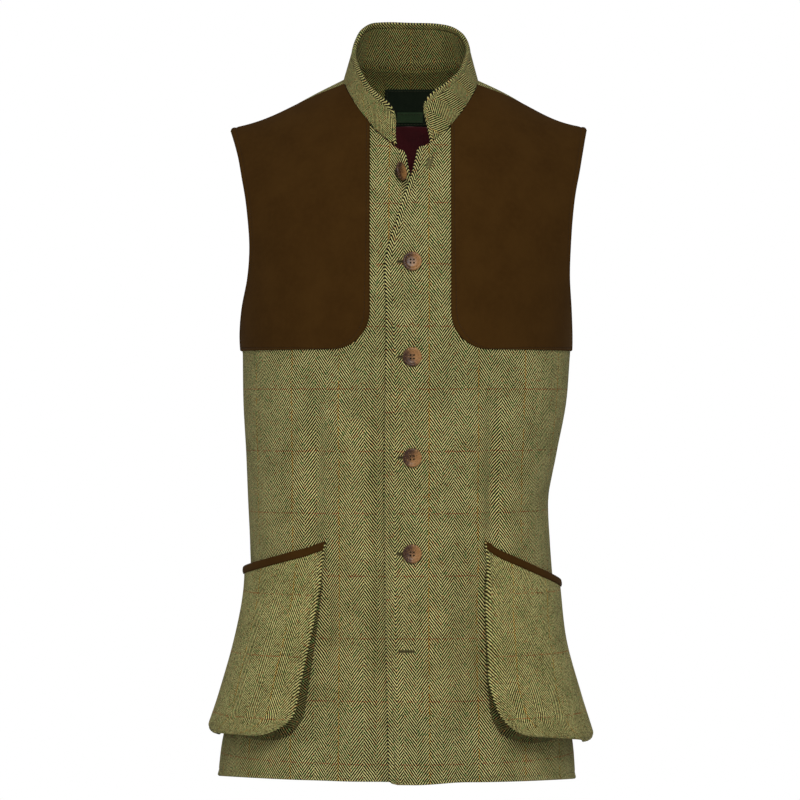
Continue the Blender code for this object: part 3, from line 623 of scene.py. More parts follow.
def shoulder_height(x):
    """The shoulder line, rounded over between the two sides of the neck."""
    at_neck = math.exp(-NECK_HALF_WIDTH / SHOULDER_REACH)
    out = np.maximum(np.abs(x), NECK_HALF_WIDTH)
    inside = NECK_HALF_WIDTH**2 - np.minimum(np.abs(x), NECK_HALF_WIDTH) ** 2
    steepness = SHOULDER_RISE * at_neck / SHOULDER_REACH
    along = np.clip((out - NECK_HALF_WIDTH) / (ARMHOLE[-1].left_hand - NECK_HALF_WIDTH), 0.0, 1.0)
    wave = np.where(x > 0, LEFT_SHOULDER_WAVE, RIGHT_SHOULDER_WAVE) * np.sin(2 * math.pi * along)
    slope = SHOULDER_RISE * (np.exp(-out / SHOULDER_REACH) - at_neck)
    return slope + wave + steepness * inside / (2 * NECK_HALF_WIDTH)


def back_neck_height(x, y):
    """How much higher than the chest's curve the cloth stands at the back of the neck."""
    near = ease((BACK_NECK_HALF_WIDTH - np.abs(x)) / BACK_NECK_EASE)
    return BACK_NECK_RISE * near * ease(y / BACK_NECK_DEPTH) * (1.0 - ease((y - NECK_BACK) / BACK_NECK_FADE))


def share_of_rise(rise):
    """How far up the armhole's height a rise between 0 and 2 is."""
    angle = np.clip(rise, 0.0, 2.0) * math.pi / 2
    return np.abs(np.sin(angle)) ** (2.0 / CHEST_RISE)


def depth_of_rise(rise):
    """The share of the chest's depth that is left at a rise; it is negative past the shoulder line."""
    cosine = np.cos(np.clip(rise, 0.0, 2.0) * math.pi / 2)
    return np.sign(cosine) * np.abs(cosine) ** (2.0 / CHEST_DEPTH)


def fold_depth(face, x, height):
    """How far the folds push the cloth in at a place."""
    pushed = np.zeros_like(x)
    for fold in FOLDS:
        down = (fold.top_height - height) / (fold.top_height - fold.foot_height)
        strength = ease(down / FOLD_START) * ease((1.0 - down) / FOLD_END)
        shape = hump(x, blend(fold.top_x, fold.foot_x, down), fold.width)
        pushed += np.where(face == fold.face, fold.depth * strength * shape, 0.0)
    return pushed


def crease_depth(face, x, height):
    """How far the short creases push the cloth in at a place."""
    pushed = np.zeros_like(x)
    for crease in CREASES:
        run = np.array([crease.to_x - crease.from_x, crease.to_height - crease.from_height])
        length = np.linalg.norm(run)
        run /= length
        away_x, away_z = x - crease.from_x, height - crease.from_height
        along = (away_x * run[0] + away_z * run[1]) / length
        off = away_z * run[0] - away_x * run[1]
        before, after = along + CREASE_REACH, 1.0 + CREASE_REACH - along
        strength = ease(before / CREASE_EASE) * ease(after / CREASE_EASE)
        shape = hump(off, 0.0, crease.width)
        pushed += np.where(face == crease.face, crease.depth * strength * shape, 0.0)
    return pushed


def height_below_arms(rise):
    """The height at a rise, before the hem's slope; it stays at the armholes' foot above that."""
    return ARM_HEIGHT + np.minimum(rise, 0.0) * SKIRT


def half_width(x, face, rise):
    """How far the body reaches to the side that x is on, for the front or the back."""
    height, share = height_below_arms(rise), share_of_rise(rise)
    lower = np.where(x > 0, from_body("left_hand", height), from_body("right_hand", height))
    front = np.where(x > 0, section_reach(1, -1, share), section_reach(-1, -1, share))
    back = np.where(x > 0, section_reach(1, 1, share), section_reach(-1, 1, share))
    return np.where(rise > 0, np.where(face < 0, front, back), lower)


def smooth_point(turn, rise):
    """The body's surface before any fold."""
    sine, cosine = np.sin(turn), np.cos(turn)
    size = (np.abs(sine) ** SQUARENESS + np.abs(cosine) ** SQUARENESS) ** (-1.0 / SQUARENESS)
    sideways, forward, left = sine * size, cosine * size, depth_of_rise(rise)
    face = np.where(forward * left > 0, -1, 1)
    x = sideways * half_width(sideways, face, rise)
    height = height_below_arms(rise)
    deep = np.where(face < 0, from_body("front", height), from_body("back", height))
    y = -forward * left * deep
    hem = HEM_HEIGHT + HEM_TILT * x + HEM_FRONT_RISE * np.sin(np.clip(-y / deep, 0.0, 1.0) * math.pi / 2)
    below = ARM_HEIGHT + np.minimum(rise, 0.0) * (ARM_HEIGHT - hem)
    above = ARM_HEIGHT + share_of_rise(rise) * (shoulder_height(x) - ARM_HEIGHT) + back_neck_height(x, y)
    return joined(x, y, np.where(rise > 0, above, below))


def directions(make, turn, rise):
    """A surface's outward direction, from its two tangents, read clear of the bend at the armholes' foot."""
    step = 1e-4
    rise = np.where(np.abs(rise) < 4 * step, -4 * step, rise)
    along = make(turn + step, rise) - make(turn - step, rise)
    upward = make(turn, rise + step) - make(turn, rise - step)
    return unit(np.cross(along, upward))


def folded_point(turn, rise):
    point = smooth_point(turn, rise)
    x, height = point[..., 0], point[..., 2]
    face = np.where(point[..., 1] < 0, -1, 1)
    pushed = fold_depth(face, x, height) + crease_depth(face, x, height)
    return point - directions(smooth_point, turn, rise) * pushed[..., None]


def cloth_point(turn, rise, stand=0.0):
    """A point on the folded cloth, or standing off it."""
    turn, rise = np.broadcast_arrays(np.asarray(turn, float), np.asarray(rise, float))
    point = folded_point(turn, rise)
    stand = np.broadcast_to(np.asarray(stand, float), turn.shape)
    return point + directions(folded_point, turn, rise) * stand[..., None]


def turn_at(x, face, rise):
    """The turn at which the front or the back passes a given x."""
    sideways = np.clip(np.abs(x) / half_width(x, face, rise), 0.0, 1.0)
    turn = np.sign(x) * np.arctan2(sideways, across(sideways))
    return np.where(face < 0, turn, math.pi - turn)


def searched(low, high, is_below):
    """The values between two bounds at which a test stops holding."""
    for _ in range(HALVINGS):
        middle = (low + high) / 2
        below = is_below(middle)
        low, high = np.where(below, middle, low), np.where(below, high, middle)
    return (low + high) / 2


def rise_at(x, face, height):
    """The rise at which the front or the back passes a height at a given x."""

    def is_below(rise):
        return smooth_point(turn_at(x, face, rise), rise)[..., 2] < height

    return searched(-np.ones_like(x), np.ones_like(x), is_below)


def places_seen_from_above(x, y):
    """The turns and rises, read on the back panel, of the surface above some points of the plan."""
    face = np.where(y < 0, -1, 1)

    def is_below(rise):
        return np.abs(smooth_point(turn_at(x, face, rise), rise)[..., 1]) > np.abs(y)

    rise = searched(np.zeros_like(x), np.ones_like(x), is_below)
    turn = turn_at(x, face, rise)
    turn = np.where(face < 0, math.pi - turn, turn)
    return joined(turn, np.where(face < 0, 2.0 - rise, rise))


def neck_plan(angle):
    """The neckline's oval from above; the angle is 0 at the centre front and runs to the wearer's left."""
    depth = np.where(np.cos(angle) > 0, NECK_FRONT, NECK_BACK)
    return NECK_CENTRE[0] + NECK_HALF_WIDTH * np.sin(angle), NECK_CENTRE[1] - depth * np.cos(angle)


def on_front(places):
    """The same places read on a front instead of the back."""
    return np.array([math.pi, 2.0]) - places


def seam_angle():
    """The angle of the neckline at which the shoulder seam meets it."""
    return math.acos((SEAM_FORWARD + NECK_CENTRE[1]) / NECK_FRONT)


def shoulder_seam(side, steps, forward=0.0):
    """Places along the shoulder seam from the neck to the tip, on the back panel."""
    tip = ARMHOLE[-1].left_hand if side > 0 else ARMHOLE[-1].right_hand
    neck_x, neck_y = neck_plan(side * seam_angle())
    share = np.linspace(0, 1, steps + 1)
    y = np.minimum(neck_y * (1.0 - share) ** SEAM_BEND, -1e-6) - forward
    return places_seen_from_above(blend(neck_x, side * tip, share), y)


def neckline(first, last, steps):
    """Places along the neckline between two angles, on the back panel."""
    return places_seen_from_above(*neck_plan(np.linspace(first, last, steps + 1)))


def arc(make, first, last):
    """The length of a path over the surface, taken in steps between two values at every point."""
    total = np.zeros(np.broadcast(first, last).shape)
    before = make(first)
    for i in range(1, ARC_STEPS + 1):
        now = make(first + (last - first) * i / ARC_STEPS)
        total += np.linalg.norm(now - before, axis=-1)
        before = now
    return total


def grain(places, centre):
    """The developed width from a centre line, and the developed height from the foot of the armholes."""
    turn, rise = parts(places)
    wide = arc(lambda t: smooth_point(t, rise), np.full_like(turn, centre), turn) * np.sign(turn - centre)
    tall = arc(lambda r: smooth_point(turn, r), np.zeros_like(rise), rise) * np.sign(rise)
    return joined(wide, tall)


def run_along(points):
    """The length along a line of points."""
    return np.append(0.0, np.cumsum(np.linalg.norm(np.diff(points, axis=0), axis=-1)))


def runs(points):
    """The length along every row and every column of a grid, from its first column and its first row."""
    across_run = np.cumsum(np.linalg.norm(np.diff(points, axis=1), axis=-1), axis=1)
    up_run = np.cumsum(np.linalg.norm(np.diff(points, axis=0), axis=-1), axis=0)
    return np.pad(across_run, ((0, 0), (1, 0))), np.pad(up_run, ((1, 0), (0, 0)))


def edge_distances(points):
    """How far every point lies from the left, right, bottom and top edges of its grid."""
    across_run, up_run = runs(points)
    right, top = across_run[:, -1:] - across_run, up_run[-1:] - up_run
    return {"left": across_run, "right": right, "bottom": up_run, "top": top}


def nearest(far, *edges):
    return np.min([far[edge] for edge in edges], axis=0)


def groove(near, inset=STITCH_INSET):
    """The groove that a line of stitches draws, at a distance inside an edge."""
    return GROOVE_DEPTH * hump(near, inset, GROOVE_WIDTH)


def turned_relief(near):
    """The swell of a turned edge and the groove of its topstitching."""
    return EDGE_SWELL * hump(near, 0.0, EDGE_SWELL_WIDTH) - groove(near)


def clustered(steps, gather=GATHER):
    """Shares from 0 to 1 that lie closer together near both ends."""
    share = np.linspace(0, 1, steps + 1)
    return share - gather * np.sin(2 * math.pi * share) / (2 * math.pi)


def gathered_low(steps):
    """Shares from 0 to 1 that lie closer together near the start."""
    share = np.linspace(0, 1, steps + 1)
    return share - GATHER * np.sin(math.pi * share) / math.pi


def read(edge, share):
    """Places along an edge that is given as a dense list, at shares of its steps."""
    edge = np.asarray(edge, float)
    steps = np.linspace(0, 1, len(edge))
    return joined(*(np.interp(share, steps, values) for values in edge.T))


def filled(bottom, top, inner, outer, u, v):
    """Fills in the places between four dense edges at chosen shares."""
    low, high = read(bottom, u)[None], read(top, u)[None]
    left, right = read(inner, v)[:, None], read(outer, v)[:, None]
    u, v = u[None, :, None], v[:, None, None]
    ends = (1 - v) * low + v * high + (1 - u) * left + u * right
    base = (1 - u) * low[:, :1] + u * low[:, -1:]
    head = (1 - u) * high[:, :1] + u * high[:, -1:]
    return ends - (1 - v) * base - v * head


def ring_of(rows, columns):
    """The grid places round a sheet's rim, in order, and each one's neighbour inside the sheet."""
    around = [(0, j) for j in range(columns)]
    around += [(i, columns - 1) for i in range(1, rows)]
    around += [(rows - 1, j) for j in range(columns - 2, -1, -1)]
    around += [(i, 0) for i in range(rows - 2, 0, -1)]
    inside = [(min(max(i, 1), rows - 2), min(max(j, 1), columns - 2)) for i, j in around]
    return tuple(np.array(around).T), tuple(np.array(inside).T)


class Strip(NamedTuple):
    """A run of a sheet's faces whose weave coordinates are their own, as along a turned edge."""

    inside: bool
    rows: slice
    columns: slice
    weave: np.ndarray


def build_shell(name, outer, inner, weave, looks, inner_look=None, strips=(), inner_weave=None):
    """A closed cloth piece with a rounded rim."""
    rows, columns = outer.shape[:2]
    around, inside = ring_of(rows, columns)
    out = unit(outer[around] - outer[inside])
    wall = np.linalg.norm(outer - inner, axis=-1)[around]
    rim = (outer[around] + inner[around]) / 2 + out * (wall * RIM_ROUNDING)[:, None]
    count = rows * columns
    vertices = np.concatenate([outer.reshape(-1, 3), inner.reshape(-1, 3), rim])
    index = np.arange(count).reshape(rows, columns)
    quads = joined(index[:-1, :-1], index[:-1, 1:], index[1:, 1:], index[1:, :-1])
    middle = (rows // 2, columns // 2)
    across_way = outer[middle[0], middle[1] + 1] - outer[middle]
    up_way = outer[middle[0] + 1, middle[1]] - outer[middle]
    faces_out = np.dot(np.cross(across_way, up_way), outer[middle] - inner[middle]) > 0
    outer_quads = quads.reshape(-1, 4)
    inner_quads = outer_quads[:, ::-1] + count
    at = index[around]
    ring = 2 * count + np.arange(len(at))
    after = np.roll(np.arange(len(at)), -1)
    outer_rim = joined(at, ring, ring[after], at[after])
    inner_rim = joined(ring, at + count, at[after] + count, ring[after])
    faces = np.concatenate([outer_quads, inner_quads, outer_rim, inner_rim])
    inner_weave = weave if inner_weave is None else inner_weave
    coordinates = np.concatenate([weave.reshape(-1, 2), inner_weave.reshape(-1, 2), weave[around]])
    corners = coordinates[faces]
    grid_faces = np.arange(len(outer_quads)).reshape(rows - 1, columns - 1)
    for strip in strips:
        own = strip.weave.reshape(-1, 2)
        within = grid_faces[strip.rows, strip.columns].ravel()
        quads_within = outer_quads[within]
        if strip.inside:
            corners[within + len(outer_quads)] = own[quads_within[:, ::-1]]
            continue
        corners[within] = own[quads_within]
        touched = np.zeros(count, bool)
        touched[quads_within] = True
        on_rim = touched[at] & touched[at[after]]
        ends = joined(at, at, at[after], at[after])[on_rim]
        for first_face in (2 * len(outer_quads), 2 * len(outer_quads) + len(at)):
            corners[first_face + np.flatnonzero(on_rim)] = own[ends]
    if not faces_out:
        faces, corners = faces[:, ::-1], corners[:, ::-1]
    chosen = np.zeros(len(faces), int)
    if inner_look is not None:
        chosen[len(outer_quads) : 2 * len(outer_quads)] = inner_look.ravel()
    return finished_mesh(name, vertices, faces, corners, looks, chosen)


def linked(name, data):
    made = bpy.data.objects.new(name, data)
    bpy.context.scene.collection.objects.link(made)
    return made


def mesh_of(name, bm):
    mesh = bpy.data.meshes.new(name)
    bm.to_mesh(mesh)
    bm.free()
    return mesh


def finished_mesh(name, vertices, faces, corners, looks, chosen):
    mesh = bpy.data.meshes.new(name)
    mesh.from_pydata(vertices.tolist(), [], faces.tolist())
    if corners is not None:
        layer = mesh.uv_layers.new(name="weave")
        layer.data.foreach_set("uv", corners.astype(np.float32).ravel())
    for look in looks:
        mesh.materials.append(look)
    mesh.polygons.foreach_set("material_index", chosen.astype(np.int32))
    mesh.validate()
    mesh.shade_smooth()
    return linked(name, mesh)


def settle(piece, nodes):
    """Puts a piece under the root in the place of its nodes, and hides the nodes."""
    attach(piece, "root")
    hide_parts(*nodes)


class Look:
    """A material and short ways to add its nodes."""

    def __init__(self, name, colour, roughness):
        self.material = bpy.data.materials.new(name)
        self.material.use_nodes = True
        self.tree = self.material.node_tree
        self.shader = self.tree.nodes["Principled BSDF"]
        self.material.diffuse_color = (*colour, 1.0)
        self.shader.inputs["Base Color"].default_value = (*colour, 1.0)
        self.shader.inputs["Roughness"].default_value = roughness

    def set(self, **values):
        for name, value in values.items():
            self.shader.inputs[name.replace("_", " ")].default_value = value

    def node(self, kind, **settings):
        made = self.tree.nodes.new(kind)
        for name, value in settings.items():
            setattr(made, name, value)
        return made

    def put(self, socket, value):
        if isinstance(value, bpy.types.NodeSocket):
            self.tree.links.new(value, socket)
        else:
            socket.default_value = value

    def math(self, operation, first, second=0.0):
        made = self.node("ShaderNodeMath", operation=operation)
        self.put(made.inputs[0], first)
        self.put(made.inputs[1], second)
        return made.outputs[0]

    def plus(self, first, second):
        return self.math("ADD", first, second)

    def times(self, first, second):
        return self.math("MULTIPLY", first, second)

    def wave(self, along, period):
        return self.math("COSINE", self.times(along, 2 * math.pi / period))

    def smooth(self, value, low, high):
        """0 below one value, 1 above the other, and smooth between."""
        made = self.node("ShaderNodeMapRange", interpolation_type="SMOOTHSTEP")
        self.put(made.inputs["Value"], value)
        made.inputs["From Min"].default_value = low
        made.inputs["From Max"].default_value = high
        return made.outputs["Result"]

    def mix(self, share, first, second, kind="MIX"):
        made = self.node("ShaderNodeMix", data_type="RGBA", blend_type=kind)
        self.put(made.inputs[0], share)
        for socket, colour in ((made.inputs[6], first), (made.inputs[7], second)):
            self.put(socket, colour if isinstance(colour, bpy.types.NodeSocket) else (*colour, 1.0))
        return made.outputs[2]

    def noise(self, vector, scale, detail=2.0, roughness=0.5):
        made = self.node("ShaderNodeTexNoise")
        self.put(made.inputs["Vector"], vector)
        made.inputs["Scale"].default_value = scale
        made.inputs["Detail"].default_value = detail
        made.inputs["Roughness"].default_value = roughness
        return made.outputs["Fac"]

    def sway(self, *noise):
        """Noise about 0, between -0.5 and 0.5."""
        return self.math("SUBTRACT", self.noise(*noise), 0.5)

    def tinge(self, colour, other, share, weight):
        """A colour, drawn towards another one by a weighted share."""
        return self.mix(self.times(share, weight), colour, other)

    def place(self):
        return self.node("ShaderNodeTexCoord").outputs["Object"]

    def weave(self):
        """The weave coordinates, across and up, in metres."""
        layer = self.node("ShaderNodeUVMap", uv_map="weave")
        split = self.node("ShaderNodeSeparateXYZ")
        self.put(split.inputs[0], layer.outputs[0])
        return split.outputs[0], split.outputs[1]

    def colour(self, value):
        self.put(self.shader.inputs["Base Color"], value)

    def bump(self, height, depth, strength):
        made = self.node("ShaderNodeBump")
        made.inputs["Distance"].default_value = depth
        made.inputs["Strength"].default_value = strength
        self.put(made.inputs["Height"], height)
        self.put(self.shader.inputs["Normal"], made.outputs[0])


class TweedTone(NamedTuple):
    """One piece's tweed: its yarns, its pattern's clearness and mottle, its checks and how much lighter it is."""

    dark: tuple
    light: tuple
    pattern: float
    mottle: float
    checks: float
    lighter: float


DARK_YARN = (0.003, 0.002, 0.0003)
TWEED_TONES = {
    "tweed": TweedTone(DARK_YARN, (0.640, 0.583, 0.238), 1.0, 1.1, 1.3, -0.16),
    "tweed_pocket": TweedTone((0.022, 0.018, 0.0025), (0.575, 0.528, 0.212), 0.80, 2.2, 1.3, 0.05),
    # The gusset's tweed is made dark: painted shade for the recess between the pocket and the body.
    "tweed_gusset_painted_shade": TweedTone(DARK_YARN, (0.170, 0.152, 0.052), 0.9, 1.8, 0.3, 0.0),
    "tweed_collar": TweedTone(DARK_YARN, (0.47, 0.425, 0.160), 0.9, 1.8, 0.7, 0.0),
    # The collar's inner face and the neck facing are the same tweed made darker: painted shade inside the neck.
    "tweed_collar_inner_shaded": TweedTone(DARK_YARN, (0.33, 0.297, 0.098), 1.0, 1.3, 0.6, -0.19),
    "tweed_facing_shaded": TweedTone(DARK_YARN, (0.32, 0.292, 0.085), 1.0, 1.4, 0.6, -0.16),
}
RUST_FLECK = (0.50, 0.21, 0.060)
GREEN_FLECK = (0.190, 0.350, 0.100)
MUSTARD_CHECK = (0.66, 0.315, 0.030)
RUST_CHECK = (0.50, 0.140, 0.045)


def repeated_line(look, along, period, half_width):
    """1 on a thin line that comes back at every period, and 0 between."""
    within = look.math("FLOORED_MODULO", look.plus(along, period / 2), period)
    off = look.math("SUBTRACT", within, period / 2)
    return look.smooth(look.math("ABSOLUTE", off), 1.5 * half_width, 0.6 * half_width)


def tweed_look(name, tone):
    """Herringbone tweed with mustard and rust overchecks, fibres and small flecks."""
    look = Look(name, tone.light, 0.92)
    look.set(Sheen_Weight=0.05, Sheen_Roughness=0.5, Sheen_Tint=(0.55, 0.5, 0.3, 1.0))
    look.set(Specular_IOR_Level=0.10)
    place = look.place()
    wide, tall = look.weave()
    waver, drift = look.sway(place, 85.0), look.sway(place, 9.0, 1.0)
    wide = look.plus(look.plus(wide, look.times(waver, 0.0009)), look.times(drift, 0.0040))
    tall = look.plus(tall, look.times(waver, 0.0011))
    bands = look.math("DIVIDE", wide, HALF_BAND)
    parity = look.math("FLOORED_MODULO", look.math("FLOOR", bands), 2.0)
    slant = look.times(look.math("PINGPONG", bands, 1.0), HALF_BAND / TWILL_ACROSS)
    phase = look.plus(look.plus(look.math("DIVIDE", tall, TWILL_UP), slant), look.times(parity, 0.5))
    wave = look.wave(phase, 1.0)
    fibre, clumps = look.sway(place, 1500.0, 3.0, 0.65), look.sway(place, 560.0, 2.0, 0.6)
    hairy = look.plus(look.plus(look.times(wave, tone.pattern), fibre), look.times(clumps, tone.mottle))
    fleck = look.noise(place, 430.0, 1.0)
    light = look.tinge(tone.light, RUST_FLECK, look.smooth(fleck, 0.60, 0.68), 0.60)
    light = look.tinge(light, GREEN_FLECK, look.smooth(fleck, 0.42, 0.33), 0.70)
    broken = look.smooth(look.noise(place, 210.0, 1.0), 0.36, 0.56)
    upright = look.times(repeated_line(look, wide, CHECK_ACROSS, 0.00062), broken)
    light = look.tinge(light, MUSTARD_CHECK, upright, 0.65 * tone.checks)
    level = look.times(repeated_line(look, tall, CHECK_UP, 0.00065), broken)
    light = look.tinge(light, RUST_CHECK, level, 0.54 * tone.checks)
    yarn = look.mix(look.smooth(hairy, 0.10 - tone.lighter, 0.72 - tone.lighter), tone.dark, light)
    blotch = look.smooth(look.noise(place, 34.0, 3.0), 0.3, 0.7)
    look.colour(look.mix(1.0, yarn, look.mix(blotch, (0.86, 0.87, 0.83), (1.11, 1.11, 1.11)), "MULTIPLY"))
    relief = look.plus(look.times(wave, 0.35), look.times(fibre, 1.4))
    look.bump(relief, 0.00035, 0.55)
    return look.material


def suede_look():
    look = Look("suede_brown", (0.038, 0.0165, 0.0024), 0.95)
    look.set(Sheen_Weight=0.05, Sheen_Roughness=0.5, Sheen_Tint=(0.45, 0.27, 0.09, 1.0))
    look.set(Specular_IOR_Level=0.06)
    place = look.place()
    nap = look.noise(place, 900.0, 4.0, 0.7)
    brushed = look.noise(place, 26.0, 3.0, 0.55)
    fine = look.noise(place, 210.0, 3.0, 0.6)
    colour = look.mix(look.smooth(brushed, 0.25, 0.75), (0.0325, 0.0136, 0.0018), (0.0415, 0.0182, 0.0028))
    colour = look.tinge(colour, (0.0460, 0.0205, 0.0036), look.smooth(fine, 0.35, 0.75), 0.3)
    colour = look.tinge(colour, (0.026, 0.011, 0.0014), look.smooth(nap, 0.5, 0.8), 0.3)
    look.colour(colour)
    look.bump(look.plus(nap, look.times(fine, 0.5)), 0.00018, 0.5)
    return look.material


def satin_look():
    look = Look("satin_burgundy", (0.038, 0.0022, 0.0036), 0.50)
    look.set(Specular_IOR_Level=0.22, Sheen_Weight=0.05, Sheen_Tint=(0.7, 0.08, 0.14, 1.0))
    rib = look.wave(look.plus(*look.weave()), 0.0007)
    blotch = look.smooth(look.noise(look.place(), 40.0, 2.0), 0.3, 0.7)
    look.colour(look.mix(blotch, (0.030, 0.0016, 0.0028), (0.048, 0.0028, 0.0045)))
    look.bump(rib, 0.00006, 0.35)
    return look.material


def label_look(name, ground, thread):
    """A woven label: fine horizontal ribs and a slightly paler selvedge colour."""
    look = Look(name, ground, 0.75)
    look.set(Sheen_Weight=0.02, Specular_IOR_Level=0.08)
    wide, tall = look.weave()
    rib, wale = look.wave(tall, 0.0008), look.wave(wide, 0.0006)
    colour = look.tinge(ground, thread, look.smooth(look.times(rib, wale), -0.4, 0.9), 0.5)
    blotch = look.smooth(look.noise(look.place(), 130.0, 2.0), 0.3, 0.7)
    look.colour(look.tinge(colour, thread, blotch, 0.25))
    look.bump(look.plus(rib, wale), 0.00005, 0.5)
    return look.material


def thread_look(name, colour):
    look = Look(name, colour, 0.85)
    look.set(Sheen_Weight=0.05, Specular_IOR_Level=0.1)
    twist = look.noise(look.place(), 2600.0, 2.0)
    darker = tuple(0.6 * c for c in colour)
    look.colour(look.mix(look.smooth(twist, 0.35, 0.65), darker, colour))
    look.bump(twist, 0.0001, 0.5)
    return look.material


def horn_look():
    """Polished horn with its own streaks, over a painted shaded half and a painted lit half."""
    look = Look("horn_streaked_and_shaded", (0.18, 0.10, 0.05), 0.42)
    look.set(Specular_IOR_Level=0.25, Coat_Weight=0.05, Coat_Roughness=0.25)
    vector = look.node("ShaderNodeTexCoord").outputs["UV"]
    split = look.node("ShaderNodeSeparateXYZ")
    look.put(split.inputs[0], vector)
    streak = look.noise(vector, 7.5, 4.0, 0.62)
    side = look.plus(split.outputs[0], look.times(look.sway(vector, 1.7, 4.0, 0.6), 1.6))
    # Painted shade on the half towards the wearer's right, and painted light on the other half.
    colour = look.mix(look.smooth(side, -0.55, 0.60), (0.030, 0.010, 0.004), (0.255, 0.122, 0.040))
    colour = look.tinge(colour, (0.43, 0.240, 0.092), look.smooth(streak, 0.52, 0.68), 0.55)
    colour = look.tinge(colour, (0.016, 0.006, 0.003), look.smooth(streak, 0.46, 0.34), 0.75)
    look.colour(colour)
    look.bump(streak, 0.00008, 0.4)
    return look.material


def floor_look():
    look = Look("floor_pale", (0.86, 0.86, 0.85), 0.9)
    look.colour(look.mix(look.noise(look.place(), 6.0), (0.84, 0.84, 0.83), (0.88, 0.88, 0.87)))
    return look.material


STITCH_RINGS = ((-0.42, 0.75), (-0.2, 1.0), (0.2, 1.0), (0.42, 0.75))
STITCH_SIDES = 6
STITCH_SWAY = 0.00012
STITCH_LOOK_AHEAD = 0.0006
STITCH_SEAT = 0.35


def stitch_template():
    """One stitch as points on rings along X, and its faces."""
    points, faces = [], []
    for along, girth in STITCH_RINGS:
        for k in range(STITCH_SIDES):
            angle = 2 * math.pi * k / STITCH_SIDES
            radius = girth * STITCH_RADIUS
            points.append((along * STITCH_LENGTH, radius * math.cos(angle), radius * math.sin(angle)))
    last = (len(STITCH_RINGS) - 1) * STITCH_SIDES
    for ring in range(0, last, STITCH_SIDES):
        for k in range(STITCH_SIDES):
            a, b = ring + k, ring + (k + 1) % STITCH_SIDES
            faces.append((a, a + STITCH_SIDES, b + STITCH_SIDES, b))
    tail, head = len(points), len(points) + 1
    points += [(-0.5 * STITCH_LENGTH, 0.0, 0.0), (0.5 * STITCH_LENGTH, 0.0, 0.0)]
    for k in range(STITCH_SIDES):
        faces.append((tail, k, (k + 1) % STITCH_SIDES))
        faces.append((head, last + (k + 1) % STITCH_SIDES, last + k))
    return np.array(points), faces


def build_stitches(name, lines, thread):
    """One joined mesh of the stitches along some lines, each given as its points and outward directions."""
    template, pattern = stitch_template()
    vertices, faces = [], []
    for points, outward in lines:
        run = run_along(points)
        count = max(int(run[-1] / STITCH_PITCH), 1)
        middles = (np.arange(count) + 0.5) * run[-1] / count

        def at(where, values):
            return joined(*(np.interp(where, run, line) for line in values.T))

        centre, up = at(middles, points), at(middles, outward)
        ahead = unit(at(middles + STITCH_LOOK_AHEAD, points) - at(middles - STITCH_LOOK_AHEAD, points))
        beside = unit(np.cross(up, ahead))
        up = np.cross(ahead, beside)
        for i in range(count):
            base = len(vertices) * len(template)
            middle = centre[i] + beside[i] * (STITCH_SWAY * math.sin(i * 2.4))
            vertices.append(middle + template @ np.stack([ahead[i], beside[i], up[i]]))
            faces.extend(tuple(base + k for k in face) for face in pattern)
    mesh = bpy.data.meshes.new(name)
    mesh.from_pydata(np.concatenate(vertices).tolist(), [], faces)
    mesh.materials.append(thread)
    mesh.shade_smooth()
    piece = linked(name, mesh)
    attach(piece, "root")


def line_inside(outer, inner, edge, inset, first, last):
    """The line on a sheet's outer face at a distance inside one edge, shortened at its two ends."""
    if edge in ("left", "right"):
        outer, inner = outer.transpose(1, 0, 2), inner.transpose(1, 0, 2)
    if edge in ("right", "top"):
        outer, inner = outer[::-1], inner[::-1]
    _, up_run = runs(outer)
    columns = range(up_run.shape[1])
    points, below = (
        np.array([[np.interp(inset, up_run[:, j], line) for line in grid[:, j].T] for j in columns])
        for grid in (outer, inner)
    )
    outward = unit(points - below)
    run = run_along(points)
    kept = (run >= first) & (run <= run[-1] - last)
    return points[kept] + outward[kept] * STITCH_RADIUS * STITCH_SEAT, outward[kept]


def side_turn(side, face):
    """The side seam's turn, drawn back by half the seam's gap."""
    half = SIDE_SEAM_GAP / 2 / SIDE_REACH
    return side * (math.pi / 2 + (half if face > 0 else -half))


def armhole_edge(side, face, rises):
    turns = armhole_turn(side, face, share_of_rise(rises))
    seam = side_turn(side, face)
    turns = np.minimum(turns, seam) if side * face < 0 else np.maximum(turns, seam)
    return joined(turns, rises)


def low_rows(first_turns, last_turns, rises, u):
    turns = blend(first_turns[:, None], last_turns[:, None], u)
    return joined(turns, rises[:, None] * np.ones_like(turns))


def top_of_front(side, first_angle, neck_share):
    """Places along the neckline from an angle on, and then along the shoulder seam."""
    neck_steps = round(DENSE * neck_share)
    neck = neckline(first_angle, side * seam_angle(), neck_steps)
    seam = shoulder_seam(side, DENSE - neck_steps, SHOULDER_SEAM_GAP)
    return on_front(np.concatenate([neck[:-1], seam]))


